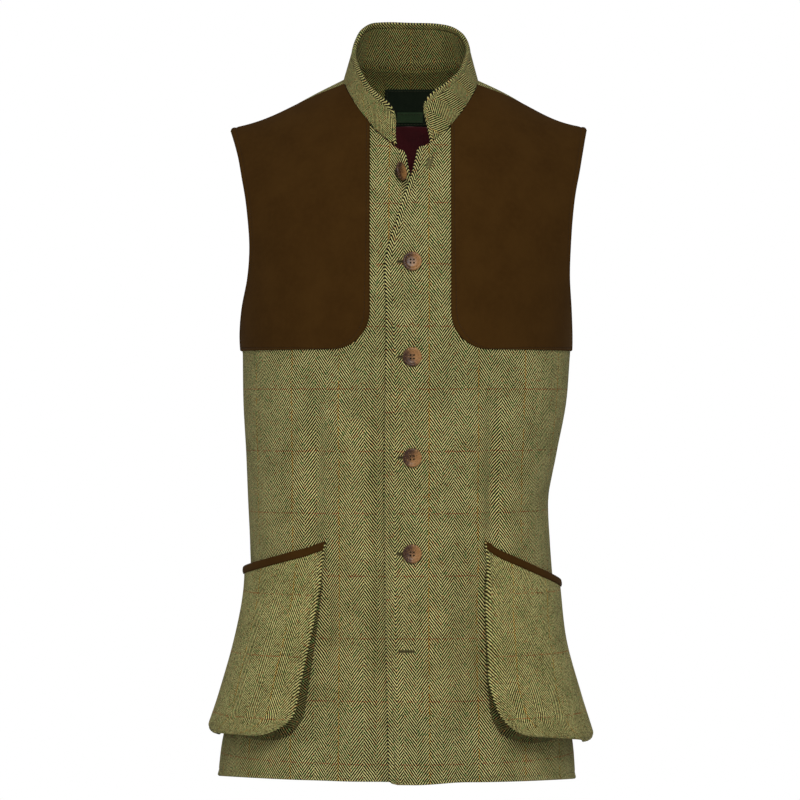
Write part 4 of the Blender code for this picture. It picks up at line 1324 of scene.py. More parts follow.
def front_places(side, u, low_v, high_v):
    """The grid of one front, from the hem to the neckline and the shoulder seam."""
    front = FRONTS[side]
    rises, above_hem = low_v - 1.0, low_v * SKIRT
    edge_x = from_edges(front.edge, ARM_HEIGHT + rises * SKIRT)
    inner = turn_at(edge_x + side * corner_cut(above_hem, HEM_CORNER), -1, rises)
    low = low_rows(inner, np.full_like(inner, side_turn(side, -1)), rises, u)
    if side > 0:
        x = smooth_point(*parts(low))[..., 0]
        drop = OVERLAP_HEM_DROP * ease((OVERLAP_HEM_DROP_END - x) / OVERLAP_HEM_DROP_END)
        low[..., 1] -= drop / SKIRT * (1.0 - ease(above_hem / OVERLAP_HEM_DROP_HEIGHT))[:, None]
    corner_angle = math.asin((front.corner - NECK_CENTRE[0]) / NECK_HALF_WIDTH)
    top = top_of_front(side, corner_angle, FRONT_NECK_SHARE)
    spread = np.linspace(0, 1, DENSE + 1) ** FRONT_GATHER
    inner_rises = spread * top[0, 1]
    heights = smooth_point(np.full_like(inner_rises, top[0, 0]), inner_rises)[..., 2]
    inner = joined(turn_at(from_edges(front.edge, heights), -1, inner_rises), inner_rises)
    outer = armhole_edge(side, -1, spread * top[-1, 1])
    inner[-1], outer[-1] = top[0], top[-1]
    high = filled([low[-1, 0], low[-1, -1]], top, inner, outer, u, high_v)
    return np.concatenate([low, high[1:]])


def lift_of_overlap(x):
    return OVERLAP_LIFT * ease((OVERLAP_LIFT_END - x) / OVERLAP_LIFT_EASE)


def roll_of_neck_edge(side, x, height):
    """How far the unbuttoned top corner of a front rolls in along its free edge."""
    front = FRONTS[side]
    near = hump(x, from_edges(front.edge, height), front.roll_width)
    held = 1.0 - ROLL_TOP_SHARE * ease((height - ROLL_TOP) / ROLL_TOP_EASE)
    return front.roll * near * held * ease((height - ROLL_FOOT) / ROLL_EASE)


def front_stand(side, places):
    """How far a front's outer face stands off the body's surface."""
    point = smooth_point(*parts(places))
    rolled = -roll_of_neck_edge(side, point[..., 0], point[..., 2])
    return lift_of_overlap(point[..., 0]) + rolled if side > 0 else rolled


def back_places(u, low_v, high_v):
    """The grid of the back, from its left-hand side seam round to the right-hand one."""
    rises = low_v - 1.0
    first = np.full_like(rises, side_turn(1, 1))
    last = np.full_like(rises, side_turn(-1, 1) + 2 * math.pi)
    low = low_rows(first, last, rises, u)
    seam_steps = round(DENSE * BACK_SEAM_SHARE)
    left = shoulder_seam(1, seam_steps)[::-1]
    neck = neckline(seam_angle(), 2 * math.pi - seam_angle(), DENSE - 2 * seam_steps)
    right = shoulder_seam(-1, seam_steps)
    top = np.concatenate([left, neck[1:], right[1:]])
    top[:, 0] %= 2 * math.pi
    spread = np.linspace(0, 1, DENSE + 1)
    spread = BACK_EVEN_SHARE * spread + BACK_EASED_SHARE * ease(spread)
    inner = armhole_edge(1, 1, spread * top[0, 1])
    outer = armhole_edge(-1, 1, spread * top[-1, 1]) + np.array([2 * math.pi, 0.0])
    top[0], top[-1] = inner[-1], outer[-1]
    high = filled([low[-1, 0], low[-1, -1]], top, inner, outer, u, high_v)
    return np.concatenate([low, high[1:]])


def corner_cut(above, radius):
    """How far a rounded corner draws an edge in, at a distance from its other edge."""
    missing = np.clip(radius - above, 0.0, radius)
    return radius - np.sqrt(radius**2 - missing**2)


def collar_points(angles, shares):
    """The collar's outer face, a row for each share of its height."""
    places = places_seen_from_above(*neck_plan(angles))
    foot = smooth_point(places[:, 0], places[:, 1])[None]
    from_end = np.minimum(angles - angles[0], angles[-1] - angles) * NECK_HALF_WIDTH
    end_cut = corner_cut(from_end, COLLAR_END_RADIUS) / COLLAR_END_RADIUS
    rim = through(column(COLLAR_RIM, "angle"), column(COLLAR_RIM, "height"), np.degrees(angles))
    full = rim - foot[0, :, 2] - COLLAR_SEAM_GAP - COLLAR_END_DROP * end_cut
    to_back = np.maximum(-np.cos(angles), 0.0) ** 2
    to_side = COLLAR_FRONT_LEAN_SHARE + (1.0 - COLLAR_FRONT_LEAN_SHARE) * np.sin(angles) ** 2
    lean = COLLAR_LEAN * to_side + COLLAR_BACK_LEAN * to_back
    end_lean = COLLAR_END_LEAN * hump(angles, COLLAR_LEFT_HAND_END, COLLAR_END_LEAN_WIDTH)
    up, lean, end_lean = (values[None] * shares[:, None] for values in (full, lean, end_lean))
    x = foot[..., 0] - lean * np.sin(angles) - end_lean
    y = foot[..., 1] + lean * np.cos(angles) - COLLAR_END_FORWARD_SHARE * end_lean
    return joined(x, y, foot[..., 2] + COLLAR_SEAM_GAP + up)


def patch_places(side, u, v):
    """The grid of one suede patch, from its foot under the arm to the shoulder seam."""
    inner_angle = side * math.asin((PATCH_INNER_EDGE - side * NECK_CENTRE[0]) / NECK_HALF_WIDTH)
    top = top_of_front(side, inner_angle, PATCH_NECK_SHARE)
    spread = np.linspace(0, 1, DENSE + 1) ** PATCH_GATHER
    rises = PATCH_FOOT + spread * (top[0, 1] - PATCH_FOOT)
    heights = smooth_point(np.full_like(rises, side * 0.3), rises)[..., 2]
    cut = corner_cut(heights - heights[0], PATCH_CORNER)
    inner = joined(turn_at(side * (PATCH_INNER_EDGE + cut), -1, rises), rises)
    inner[-1] = top[0]
    outer = armhole_edge(side, -1, PATCH_FOOT + spread * (top[-1, 1] - PATCH_FOOT))
    top[-1] = outer[-1]
    return filled([inner[0], outer[0]], top, inner, outer, u, v)


def pocket_place(pocket, u, v):
    """The turn, rise and stand of a pocket's outer face, across and down its panel."""
    sideways = 1.0 - (1.0 - u) ** POCKET_SIDEWAYS
    top = blend(pocket.top_inner_height, pocket.top_outer_height, sideways)
    foot = blend(pocket.foot_inner_height, pocket.foot_outer_height, sideways)
    outer_share = ease((u - POCKET_OUTER_LIFT_START) / (1.0 - POCKET_OUTER_LIFT_START))
    height = blend(top, foot, v) + POCKET_OUTER_LIFT * outer_share * v**POCKET_OUTER_LIFT_POWER
    rise = (height - ARM_HEIGHT) / SKIRT
    inner = np.abs(turn_at(blend(pocket.inner_top, pocket.inner_foot, v), -1, rise))
    above = (1.0 - v) * (pocket.top_inner_height - pocket.foot_inner_height)
    outer = POCKET_OUTER_TURN * np.ones_like(inner) - corner_cut(above, POCKET_OUTER_CORNER) / SIDE_REACH
    inner = inner + corner_cut(above, POCKET_INNER_CORNER) / SIDE_REACH
    top_stand = blend(POCKET_TOP_STAND, pocket.top_stand_outer, u)
    foot_stand = blend(pocket.foot_stand_inner, pocket.foot_stand_outer, u)
    crown = POCKET_CROWN * np.sin(math.pi * u) * np.sin(math.pi * v)
    spread = blend(POCKET_INNER_SPREAD, POCKET_OUTER_SPREAD, u)
    curled = ease((u - POCKET_OUTER_CURL_START) / POCKET_OUTER_CURL_EASE)
    curl = POCKET_OUTER_CURL_SHARE * corner_cut(above, POCKET_OUTER_CURL) * curled
    stand = blend(top_stand, foot_stand, np.maximum(v, 0.0) ** spread) + crown - curl
    return pocket.side * blend(inner, outer, u), rise, stand


def gusset_path(steps):
    """Down the pocket's inner edge, along its foot and up its outer edge, as shares (u, v)."""
    down = [(0.0, v) for v in np.linspace(GUSSET_TOP, 0.90, steps)]
    corner = [(0.018, 0.96), (0.050, 0.985)]
    along = [(u, 0.99) for u in np.linspace(0.12, 0.92, steps)]
    far_corner = [(0.975, 0.975)]
    up = [(1.0, v) for v in np.linspace(0.92, GUSSET_TOP, steps)]
    return np.array(down + corner + along + far_corner + up)


def label_points(width, top, foot, stand, columns, rows):
    x = np.linspace(width / 2, -width / 2, columns + 1)[None, :] * np.ones((rows + 1, 1))
    height = np.linspace(foot, top, rows + 1)[:, None] * np.ones((1, columns + 1))
    rise = rise_at(x, 1, height)
    return cloth_point(turn_at(x, 1, rise), rise, stand)


def front_face(side, x, height, stand=0.0):
    """Points on the outer face of a front at places seen from the front, and its outward directions."""
    x, height = np.broadcast_arrays(np.asarray(x, float), np.asarray(height, float))
    rise = rise_at(x, -1, height)
    turn = turn_at(x, -1, rise)

    def face(turns, rises):
        return cloth_point(turns, rises, front_stand(side, joined(turns, rises)) + stand)

    return face(turn, rise), directions(face, turn, rise)


def grid_directions(points):
    """The outward direction at every point of a grid, across its columns and up its rows."""
    return unit(np.cross(np.gradient(points, axis=1), np.gradient(points, axis=0)))


def left_edge(far, width):
    """The strip of a sheet's turned left edge, up to a width."""
    last = int(np.searchsorted(far["left"].mean(axis=0), width))
    return Strip(False, slice(None), slice(0, last), joined(far["left"] + TURNED_EDGE_BAND, far["bottom"]))


def front_cloth(side):
    return f"front_{FRONTS[side].edge}_cloth"


def build_fronts(tweed, satin):
    """The two fronts, each one sheet, and the lines that their stitches follow."""
    lines = []
    for side, front in FRONTS.items():
        places = front_places(side, clustered(112), gathered_low(90), np.linspace(0, 1, 81))
        turn, rise = parts(places)
        stand = front_stand(side, places)
        plain = cloth_point(turn, rise, stand)
        far = edge_distances(plain)
        outer = cloth_point(turn, rise, stand + turned_relief(nearest(far, "left", "bottom")))
        inner = cloth_point(turn, rise, stand - TWEED)
        weave = grain(places, 0.0) - np.array([front.check, CHECK_HEIGHT])
        lining_shows = (far["left"][:-1, :-1] > FACING_WIDTH) & (far["bottom"][:-1, :-1] > HEM_FACING)
        strips = [left_edge(far, TURNED_EDGE)]
        looks = (tweed, satin)
        piece = build_shell(front_cloth(side), outer, inner, weave, looks, lining_shows.astype(int), strips)
        nodes = [f"front_{front.edge}_{tier}" for tier in ("skirt", "waist", "chest")]
        settle(piece, nodes)
        lines.append(line_inside(outer, inner, "bottom", STITCH_INSET, STITCH_END, HEM_STITCH_END))
        lines.append(line_inside(outer, inner, "left", STITCH_INSET, STITCH_END, STITCH_END))
    return lines


def build_back(tweed, satin):
    u, low_v = clustered(150), gathered_low(80)
    turn, rise = parts(back_places(u, low_v, np.linspace(0, 1, 81)))
    plain = cloth_point(turn, rise)
    far = edge_distances(plain)
    at_armhole = ease((rise - 0.01) / 0.05)
    relief = turned_relief(nearest(far, "left", "right")) * at_armhole + turned_relief(far["bottom"])
    outer = cloth_point(turn, rise, relief)
    inner = cloth_point(turn, rise, -TWEED)
    across_run, up_run = runs(plain)
    middle, foot = len(u) // 2, len(low_v) - 1
    across_run -= across_run[:, middle : middle + 1]
    weave = joined(across_run, up_run - up_run[foot] - CHECK_HEIGHT)
    lining_shows = far["bottom"][:-1, :-1] > HEM_FACING
    piece = build_shell("back_cloth", outer, inner, weave, (tweed, satin), lining_shows.astype(int))
    nodes = [f"back_{hand}_{tier}" for hand in ("left", "right") for tier in ("skirt", "waist", "chest")]
    settle(piece, nodes)
    lines = [line_inside(outer, inner, "bottom", STITCH_INSET, HEM_STITCH_END, HEM_STITCH_END)]
    outer, inner = outer[len(low_v) :], inner[len(low_v) :]
    for edge in ("left", "right"):
        lines.append(line_inside(outer, inner, edge, STITCH_INSET, STITCH_END, STITCH_END))
    return lines


def build_collar(tweed, shaded_inner_tweed):
    """The stand collar, with a turned edge that stands proud on both faces."""
    first, last = COLLAR_LEFT_HAND_END, 2 * math.pi + COLLAR_RIGHT_HAND_END
    angles = first + (last - first) * clustered(220, 0.86)
    shares = clustered(44, 0.7)
    plain = collar_points(angles, shares)
    plain[..., 2] -= COLLAR_SINK * shares[:, None]
    outward = grid_directions(plain)
    far = edge_distances(plain)
    near = nearest(far, "left", "right", "top")
    band = 1.0 - ease((near - COLLAR_EDGE) / COLLAR_BAND_EASE + 0.9)
    channel = groove(near, COLLAR_EDGE)
    across_run, up_run = runs(plain)
    middle = np.interp(math.pi, angles, np.arange(len(angles)))
    along = across_run[0] - np.interp(middle, np.arange(len(angles)), across_run[0])
    roll = COLLAR_ROLL * np.sin(along * COLLAR_ROLL_PACE)[None] * shares[:, None]
    outer_stand = roll + COLLAR_OUTER_SHARE * COLLAR_EDGE_SWELL * band - channel
    inner_stand = roll - COLLAR_WALL - COLLAR_EDGE_SWELL * band + COLLAR_INNER_GROOVE * channel
    outer = plain + outward * outer_stand[..., None]
    inner = plain + outward * inner_stand[..., None]
    along = along[None] * np.ones_like(up_run)
    straight = joined(along, up_run + COLLAR_BELOW_NECKLINE)
    main, cross = COLLAR_SLANT
    slanted = joined(main * along + cross * up_run, main * up_run - cross * along)
    slanted += np.array(COLLAR_SLANT_START)
    top_rows = slice(int(np.argmax(far["top"].mean(axis=1) < COLLAR_EDGE)), None)
    left_columns = slice(0, int(np.argmax(far["left"].mean(axis=0) > COLLAR_EDGE)))
    right_columns = slice(int(np.argmax(far["right"].mean(axis=0) < COLLAR_EDGE)), None)
    strips = []
    for inside in (False, True):
        strips.append(Strip(inside, top_rows, slice(None), joined(far["top"] + TURNED_EDGE_BAND, along)))
        for columns, edge in ((left_columns, "left"), (right_columns, "right")):
            strips.append(Strip(inside, slice(None), columns, joined(far[edge] + TURNED_EDGE_BAND, up_run)))
    inside_shows = np.ones(np.array(far["top"].shape) - 1, int)
    # The inner face takes the darker tweed, painted shade inside the collar.
    looks = (tweed, shaded_inner_tweed)
    piece = build_shell("collar_cloth", outer, inner, slanted, looks, inside_shows, strips, straight)
    settle(piece, ["collar"])
    ends = (COLLAR_STITCH_END, COLLAR_STITCH_END)
    return [line_inside(outer, inner, edge, COLLAR_EDGE, *ends) for edge in ("left", "right", "top")]


def build_patches(suede):
    lines = []
    for side, name in ((1, "shoulder_patch_left"), (-1, "shoulder_patch_right")):
        places = patch_places(side, clustered(96), clustered(120))
        turn, rise = parts(places)
        stand = front_stand(side, places)
        plain = cloth_point(turn, rise, stand)
        near = nearest(edge_distances(plain), "left", "right", "bottom")
        swell, middle, width = PATCH_SWELL
        relief = -PATCH_EDGE_DROP * hump(near, 0.0, PATCH_EDGE_WIDTH) + swell * hump(near, middle, width)
        relief -= PATCH_GROOVE * hump(near, SUEDE_STITCH_INSET, PATCH_EDGE_WIDTH)
        outer = cloth_point(turn, rise, stand + PATCH_STAND + relief)
        inner = cloth_point(turn, rise, stand + PATCH_SEAT)
        piece = build_shell(f"{name}_suede", outer, inner, grain(places, 0.0), (suede,))
        settle(piece, [name])
        ends = {"left": SUEDE_STITCH_END, "right": SUEDE_STITCH_END, "bottom": SUEDE_STITCH_INSET}
        for edge, end in ends.items():
            lines.append(line_inside(outer, inner, edge, SUEDE_STITCH_INSET, SUEDE_STITCH_INSET, end))
    return lines


def pocket_grid(pocket, u, v, stand_change=0.0):
    turn, rise, stand = pocket_place(pocket, u, v)
    return cloth_point(turn, rise, stand + stand_change)


def build_pocket(pocket, hand, tweed, gusset_shade_tweed, suede):
    u, v = np.meshgrid(clustered(80), clustered(96))
    v = v[::-1]
    plain = pocket_grid(pocket, u, v)
    far = edge_distances(plain)
    near = nearest(far, "left", "right", "bottom")
    relief = turned_relief(near) - groove(far["bottom"], SECOND_STITCH_INSET)
    outer = pocket_grid(pocket, u, v, relief)
    inner = pocket_grid(pocket, u, v, -TWEED)
    weave = joined(far["left"] - pocket.check_across, plain[..., 2] * POCKET_CHECK_STRETCH + pocket.check_up)
    name = f"pocket_panel_{hand}"
    strips = [left_edge(far, POCKET_TURNED_EDGE)]
    piece = build_shell(f"{name}_cloth", outer, inner, weave, (tweed,), strips=strips)
    settle(piece, [name])
    ends = (STITCH_INSET, POCKET_STITCH_TOP)
    lines = [line_inside(outer, inner, edge, STITCH_INSET, *ends) for edge in ("left", "right")]
    for inset in (STITCH_INSET, SECOND_STITCH_INSET):
        lines.append(line_inside(outer, inner, "bottom", inset, STITCH_INSET, STITCH_INSET))
    build_trim(pocket, hand, suede)
    build_gusset(pocket, hand, gusset_shade_tweed)
    return lines


def build_trim(pocket, hand, suede):
    """The suede binding, folded over the pocket's top edge."""
    height = pocket.top_inner_height - pocket.foot_inner_height
    across_share = clustered(70)

    def face(front, back, over):
        """One face of the binding, from how far it stands off before, behind and over the panel."""
        arcs = np.radians(np.linspace(80, -80, 9))
        longer, thinner = TRIM_LOWER_EDGE
        down = [TRIM_WIDTH + over * longer] + [TRIM_WIDTH * share for share, _ in TRIM_SWELL] + [TRIM_TOP]
        stands = [front * thinner] + [front * swell for _, swell in TRIM_SWELL] + [front]
        middle = (front - TWEED - back) / 2
        half = (front + TWEED + back) / 2
        down += list(-over * np.cos(arcs) + TRIM_DROP)
        stands += list(middle + half * np.sin(arcs))
        down += [TRIM_TOP, TRIM_WIDTH / 2, TRIM_WIDTH]
        stands += [-TWEED - back] * 3
        u, d = np.meshgrid(across_share, np.array(down) / height)
        stand_change = np.array(stands)[:, None]
        turn, rise, stand = pocket_place(pocket, u, np.maximum(d, 0.0))
        rise -= np.minimum(d, 0.0) * height / SKIRT
        return cloth_point(turn, rise, stand + stand_change)

    outer, inner = face(*TRIM_OUTER), face(*TRIM_INNER)
    name = f"pocket_trim_{hand}"
    piece = build_shell(f"{name}_suede", outer, inner, joined(*runs(outer)), (suede,))
    settle(piece, [name])


def build_gusset(pocket, hand, tweed):
    """The bellows between the panel and the body, folded in along its middle."""
    middle_turn, middle_rise, _ = pocket_place(pocket, np.array(0.5), np.array(0.55))
    path = gusset_path(9)
    steps = np.linspace(0, len(path) - 1, 3 * (len(path) - 1) + 1)
    u, v = (np.interp(steps, np.arange(len(path)), line) for line in path.T)
    turn, rise, stand = pocket_place(pocket, u, v)
    to_middle = unit(joined((middle_turn - turn) * SIDE_REACH, (middle_rise - rise) * SKIRT))
    top = stand - TWEED - GAP
    low = ease((v - GUSSET_FLARE_START) / (GUSSET_FLARE_END - GUSSET_FLARE_START))
    along_side = ease((v - GUSSET_TOP) / 0.2) * ease((0.06 - u) / 0.05)
    # Along the inner edge the dark gusset stands out past the panel, a painted shadow line beside the pocket.
    flare = np.maximum(GUSSET_FLARE * low * ease((GUSSET_SEEN_TO - u) / 0.35), GUSSET_SHADE_BAND * along_side)
    crumple = GUSSET_CRUMPLE * low * ease((GUSSET_SEEN_TO - u) / 0.2)
    fold = np.minimum(GUSSET_FOLD, GUSSET_FOLD_SHARE * (top - GUSSET_FOOT))
    rows = []
    for share in np.linspace(0, 1, 13):
        inset = GUSSET_INSET + fold * math.sin(math.pi * share) ** 2
        inset -= flare * (1.0 - share)
        inset += crumple * np.sin(steps * 1.9 + share * 7.0) * math.sin(math.pi * share)
        moved_turn = turn + to_middle[:, 0] * inset / SIDE_REACH
        moved_rise = rise + to_middle[:, 1] * inset / SKIRT
        height = GUSSET_FOOT + np.maximum(top - GUSSET_CLEARANCE - GUSSET_FOOT, GUSSET_LEAST) * share
        rows.append(cloth_point(moved_turn, moved_rise, height))
    outer = np.array(rows)
    inner = outer + gusset_way(outer, middle_turn, middle_rise) * GUSSET_WALL
    name = f"pocket_gusset_{hand}"
    piece = build_shell(f"{name}_cloth", outer, inner, joined(*runs(outer)), (tweed,))
    settle(piece, [name])


def gusset_way(plain, middle_turn, middle_rise):
    """The directions that lead from a gusset's outer face into its pocket."""
    inward = grid_directions(plain)
    centre = cloth_point(middle_turn, middle_rise, 0.01)
    flip = np.sum(inward * (centre - plain), axis=-1).mean() < 0
    return -inward if flip else inward


def build_neck_facing(tweed, collar_tweed):
    """The tweed inside the back of the neck: the collar's inner cloth as far as its seam, then the facing."""
    angles = np.linspace(math.pi - FACING_HALF_ANGLE, math.pi + FACING_HALF_ANGLE, 101)
    top = places_seen_from_above(*neck_plan(angles))
    top[:, 0] %= 2 * math.pi
    hidden, seen = [], []
    for share in np.linspace(0, 1, 73):
        rise = FACING_FOOT + (top[:, 1] - FACING_FOOT) * share
        drop = top[:, 1] - rise
        depth = ease(drop / FACING_SEAM_DROP)
        step = ease((drop - FACING_SEAM_DROP) / FACING_SEAM_EASE + 0.5)
        deep, above, wide = FACING_GROOVE
        channel = deep * hump(drop, FACING_SEAM_DROP - above, wide)
        stand = -COLLAR_WALL - FACING_AIR - FACING_LEAN * depth - FACING_SEAM_STEP * step + channel
        stand += FACING_FOOT_DROP * ease((LINING_TOP - rise) / 0.004 + 1.5)
        seen.append(cloth_point(top[:, 0], rise, stand))
        hidden.append(cloth_point(top[:, 0], rise, stand + FACING_WALL + 0.0005 * depth))
    foot = smooth_point(top[:, 0], top[:, 1])
    inward = joined(-np.sin(angles), np.cos(angles), np.zeros_like(angles))
    for up in (0.0014, 0.0036):
        raised = foot + np.array([0.0, 0.0, up])
        seen.append(raised + inward * (COLLAR_WALL + FACING_AIR + 0.06 * up))
        hidden.append(raised + inward * (COLLAR_WALL - FACING_AIR))
    hidden, seen = np.array(hidden), np.array(seen)
    across_run, up_run = runs(seen)
    middle = len(angles) // 2
    along = across_run - across_run[:, middle : middle + 1]
    above_seam = up_run - (up_run[-1:] - COLLAR_BELOW_NECKLINE - COLLAR_SEAM_GAP)
    on_collar = (above_seam[:-1, :-1] > 0).astype(int)
    # Both looks here are darker tweeds that paint the shade inside the neck.
    weave, looks = joined(along, np.abs(above_seam)), (tweed, collar_tweed)
    piece = build_shell("neck_facing_cloth", hidden, seen, weave, looks, on_collar)
    settle(piece, ["neck_facing"])


def build_lining(satin):
    rises = LINING_FOOT + (LINING_TOP - LINING_FOOT) * clustered(110)
    first, last = (armhole_edge(side, 1, rises)[:, 0] for side in (1, -1))
    places = low_rows(first, last + 2 * math.pi, rises, clustered(90))
    places[..., 0] = math.pi + (places[..., 0] - math.pi) * LINING_WIDTH
    turn, rise = parts(places)
    stand = -TWEED - LINING_GAP
    plain = cloth_point(turn, rise, stand)
    x, height = plain[..., 0], plain[..., 2]
    pleat = PLEAT_DEPTH * hump(x, PLEAT_MIDDLE, PLEAT_WIDTH)
    ripple = LINING_RIPPLE * np.sin(x * 210.0 + 1.3 * np.sin(height * 31.0))
    inner = cloth_point(turn, rise, stand - LINING - pleat + ripple)
    piece = build_shell("lining_back_satin", plain, inner, grain(places, math.pi), (satin,))
    settle(piece, ["lining_back"])


def build_labels(label, tag, thread):
    depth = -TWEED - FACING_GAP - FACING - LABEL_GAP_SHARE * LABEL_GAP
    tag_depth = depth - LINING - FACET_GAP + TAG_SEAT
    lines = []
    for name, width, top, foot, stand, look, slot in (
        ("neck_label", LABEL_WIDTH, LABEL_TOP, LABEL_FOOT, depth, label, "label_green"),
        ("neck_label_tag", TAG_WIDTH, TAG_TOP, TAG_FOOT, tag_depth, tag, "tag_green"),
    ):
        plain = label_points(width, top, foot, stand, *LABEL_STEPS)
        edges = ("left", "right", "top", "bottom")
        swell, middle, wide = LABEL_BORDER
        border = swell * hump(nearest(edge_distances(plain), *edges), middle, wide)
        inner = label_points(width, top, foot, stand - LINING - border, *LABEL_STEPS)
        piece = build_shell(f"{name}_woven", plain, inner, joined(*runs(plain)), (look,))
        settle(piece, [name])
        ends = (HEM_STITCH_END, HEM_STITCH_END)
        lines += [line_inside(inner, plain, edge, LABEL_STITCH_INSET, *ends) for edge in edges]
    build_stitches("label_stitches", lines, thread)


BUTTON_PROFILE = (
    (0.0082, -0.0017), (0.0096, -0.0012), (0.0102, -0.0002), (0.0102, 0.0005),
    (0.0098, 0.0012), (0.0091, 0.0017), (0.0084, 0.0018), (0.0077, 0.0016),
    (0.0070, 0.0010), (0.0063, 0.0006), (0.0052, 0.0004), (0.0034, 0.0003),
)
BUTTON_SIDES = 64
SHARP_ANGLE = math.radians(42)
HOLE_PLACE = 0.0018
HOLE_RADIUS = 0.0010
THREAD_RADIUS = 0.0006
THREAD_SINK = 0.0006
SHANK_LEAST_GAP = 0.001
SHANK_RADIUS = 0.0015
SHANK_WAIST = 0.86
SHANK_TURNS = 5
SHANK_SIDES = 20
# How far each button's horn pattern, with its painted shaded and lit halves, is turned: the top button's, then
# the others'.
TOP_BUTTON_SHADED_HORN_TURN = 0.3
SHADED_HORN_TURNS = (0.2, -0.5, 0.45, 0.1)


def add_turned(bm, profile, sides, seat):
    """Adds a form turned round its seat's Z axis, from the radius and the height of each of its rings."""
    turns = [2 * math.pi * k / sides for k in range(sides)]
    rings = []
    for radius, height in profile:
        places = [(radius * math.cos(turn), radius * math.sin(turn), height) for turn in turns]
        rings.append([bm.verts.new(seat @ Vector(place)) for place in places])
    for low, high in zip(rings[:-1], rings[1:]):
        for k in range(sides):
            after = (k + 1) % sides
            bm.faces.new([low[k], low[after], high[after], high[k]])
    bm.faces.new(rings[0][::-1])
    bm.faces.new(rings[-1])


def add_pegs(bm, seat, radius, sides, middle, depth):
    """Adds a round peg in the place of each of a button's four holes."""
    for x in (-HOLE_PLACE, HOLE_PLACE):
        for y in (-HOLE_PLACE, HOLE_PLACE):
            place = seat @ Matrix.Translation((x, y, middle))
            size = {"segments": sides, "radius1": radius, "radius2": radius, "depth": depth}
            bmesh.ops.create_cone(bm, cap_ends=True, matrix=place, **size)


def build_button(name, point, outward, gap, angle, horn, thread):
    """A turned horn button with a rim, a dish and four holes, and the thread that holds it."""
    bm = bmesh.new()
    add_turned(bm, BUTTON_PROFILE, BUTTON_SIDES, Matrix())
    piece = linked(f"{name}_horn", mesh_of(name, bm))
    bm = bmesh.new()
    add_pegs(bm, Matrix(), HOLE_RADIUS, 18, 0.0, 0.01)
    drill = linked("drill", mesh_of("drill", bm))
    holes = piece.modifiers.new("holes", "BOOLEAN")
    holes.operation = "DIFFERENCE"
    holes.solver = "EXACT"
    holes.object = drill
    drilled = bpy.data.meshes.new_from_object(piece.evaluated_get(bpy.context.evaluated_depsgraph_get()))
    piece.modifiers.clear()
    piece.data = drilled
    drilled.name = name
    bpy.data.objects.remove(drill)
    layer = drilled.uv_layers.new(name="weave")
    co = np.empty(len(drilled.vertices) * 3)
    drilled.vertices.foreach_get("co", co)
    index = np.empty(len(drilled.loops), int)
    drilled.loops.foreach_get("vertex_index", index)
    x, y, z = co.reshape(-1, 3)[index].T
    across_horn = x * math.cos(angle) - y * math.sin(angle)
    up_horn = x * math.sin(angle) + y * math.cos(angle) + z
    layer.data.foreach_set("uv", (joined(across_horn, up_horn) / BUTTON_RADIUS).astype(np.float32).ravel())
    drilled.materials.clear()
    drilled.materials.append(horn)
    drilled.shade_smooth()
    drilled.set_sharp_from_angle(angle=SHARP_ANGLE)
    away = Vector(outward).normalized()
    rest = Vector(point) + away * (gap + BUTTON_THICKNESS / 2)
    seat = Matrix.Translation(rest) @ away.to_track_quat("Z", "Y").to_matrix().to_4x4()
    drilled.transform(seat)
    settle(piece, [name])
    build_button_thread(f"{name}_thread", seat, gap, thread)


def build_button_thread(name, seat, gap, thread):
    """The thread that fills a button's four holes, and its wound shank where the button stands off."""
    bm = bmesh.new()
    back = -BUTTON_THICKNESS / 2
    foot, head = back - gap - THREAD_SINK, -THREAD_SINK
    # The pegs fill the holes with thread in the near-black look, painted shade for the holes' depth.
    add_pegs(bm, seat, THREAD_RADIUS, 12, (foot + head) / 2, head - foot)
    if gap > SHANK_LEAST_GAP:
        heights = np.linspace(foot, back, 2 * SHANK_TURNS + 1)
        radii = [SHANK_RADIUS * (1.0 if i % 2 else SHANK_WAIST) for i in range(len(heights))]
        add_turned(bm, zip(radii, heights), SHANK_SIDES, seat)
    mesh = mesh_of(name, bm)
    mesh.materials.append(thread)
    mesh.shade_smooth()
    piece = linked(name, mesh)
    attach(piece, "root")


def build_buttons(horn, thread):
    point, _ = front_face(-1, *TOP_BUTTON)
    outward = (math.sin(TOP_BUTTON_TURN), -math.cos(TOP_BUTTON_TURN), TOP_BUTTON_TILT)
    build_button("button_1", point, outward, TOP_BUTTON_GAP, TOP_BUTTON_SHADED_HORN_TURN, horn, thread)
    for i, height in enumerate(BUTTON_HEIGHTS):
        point, outward = front_face(1, BUTTON_LINE, height)
        build_button(f"button_{i + 2}", point, outward, BUTTON_GAP, SHADED_HORN_TURNS[i], horn, thread)


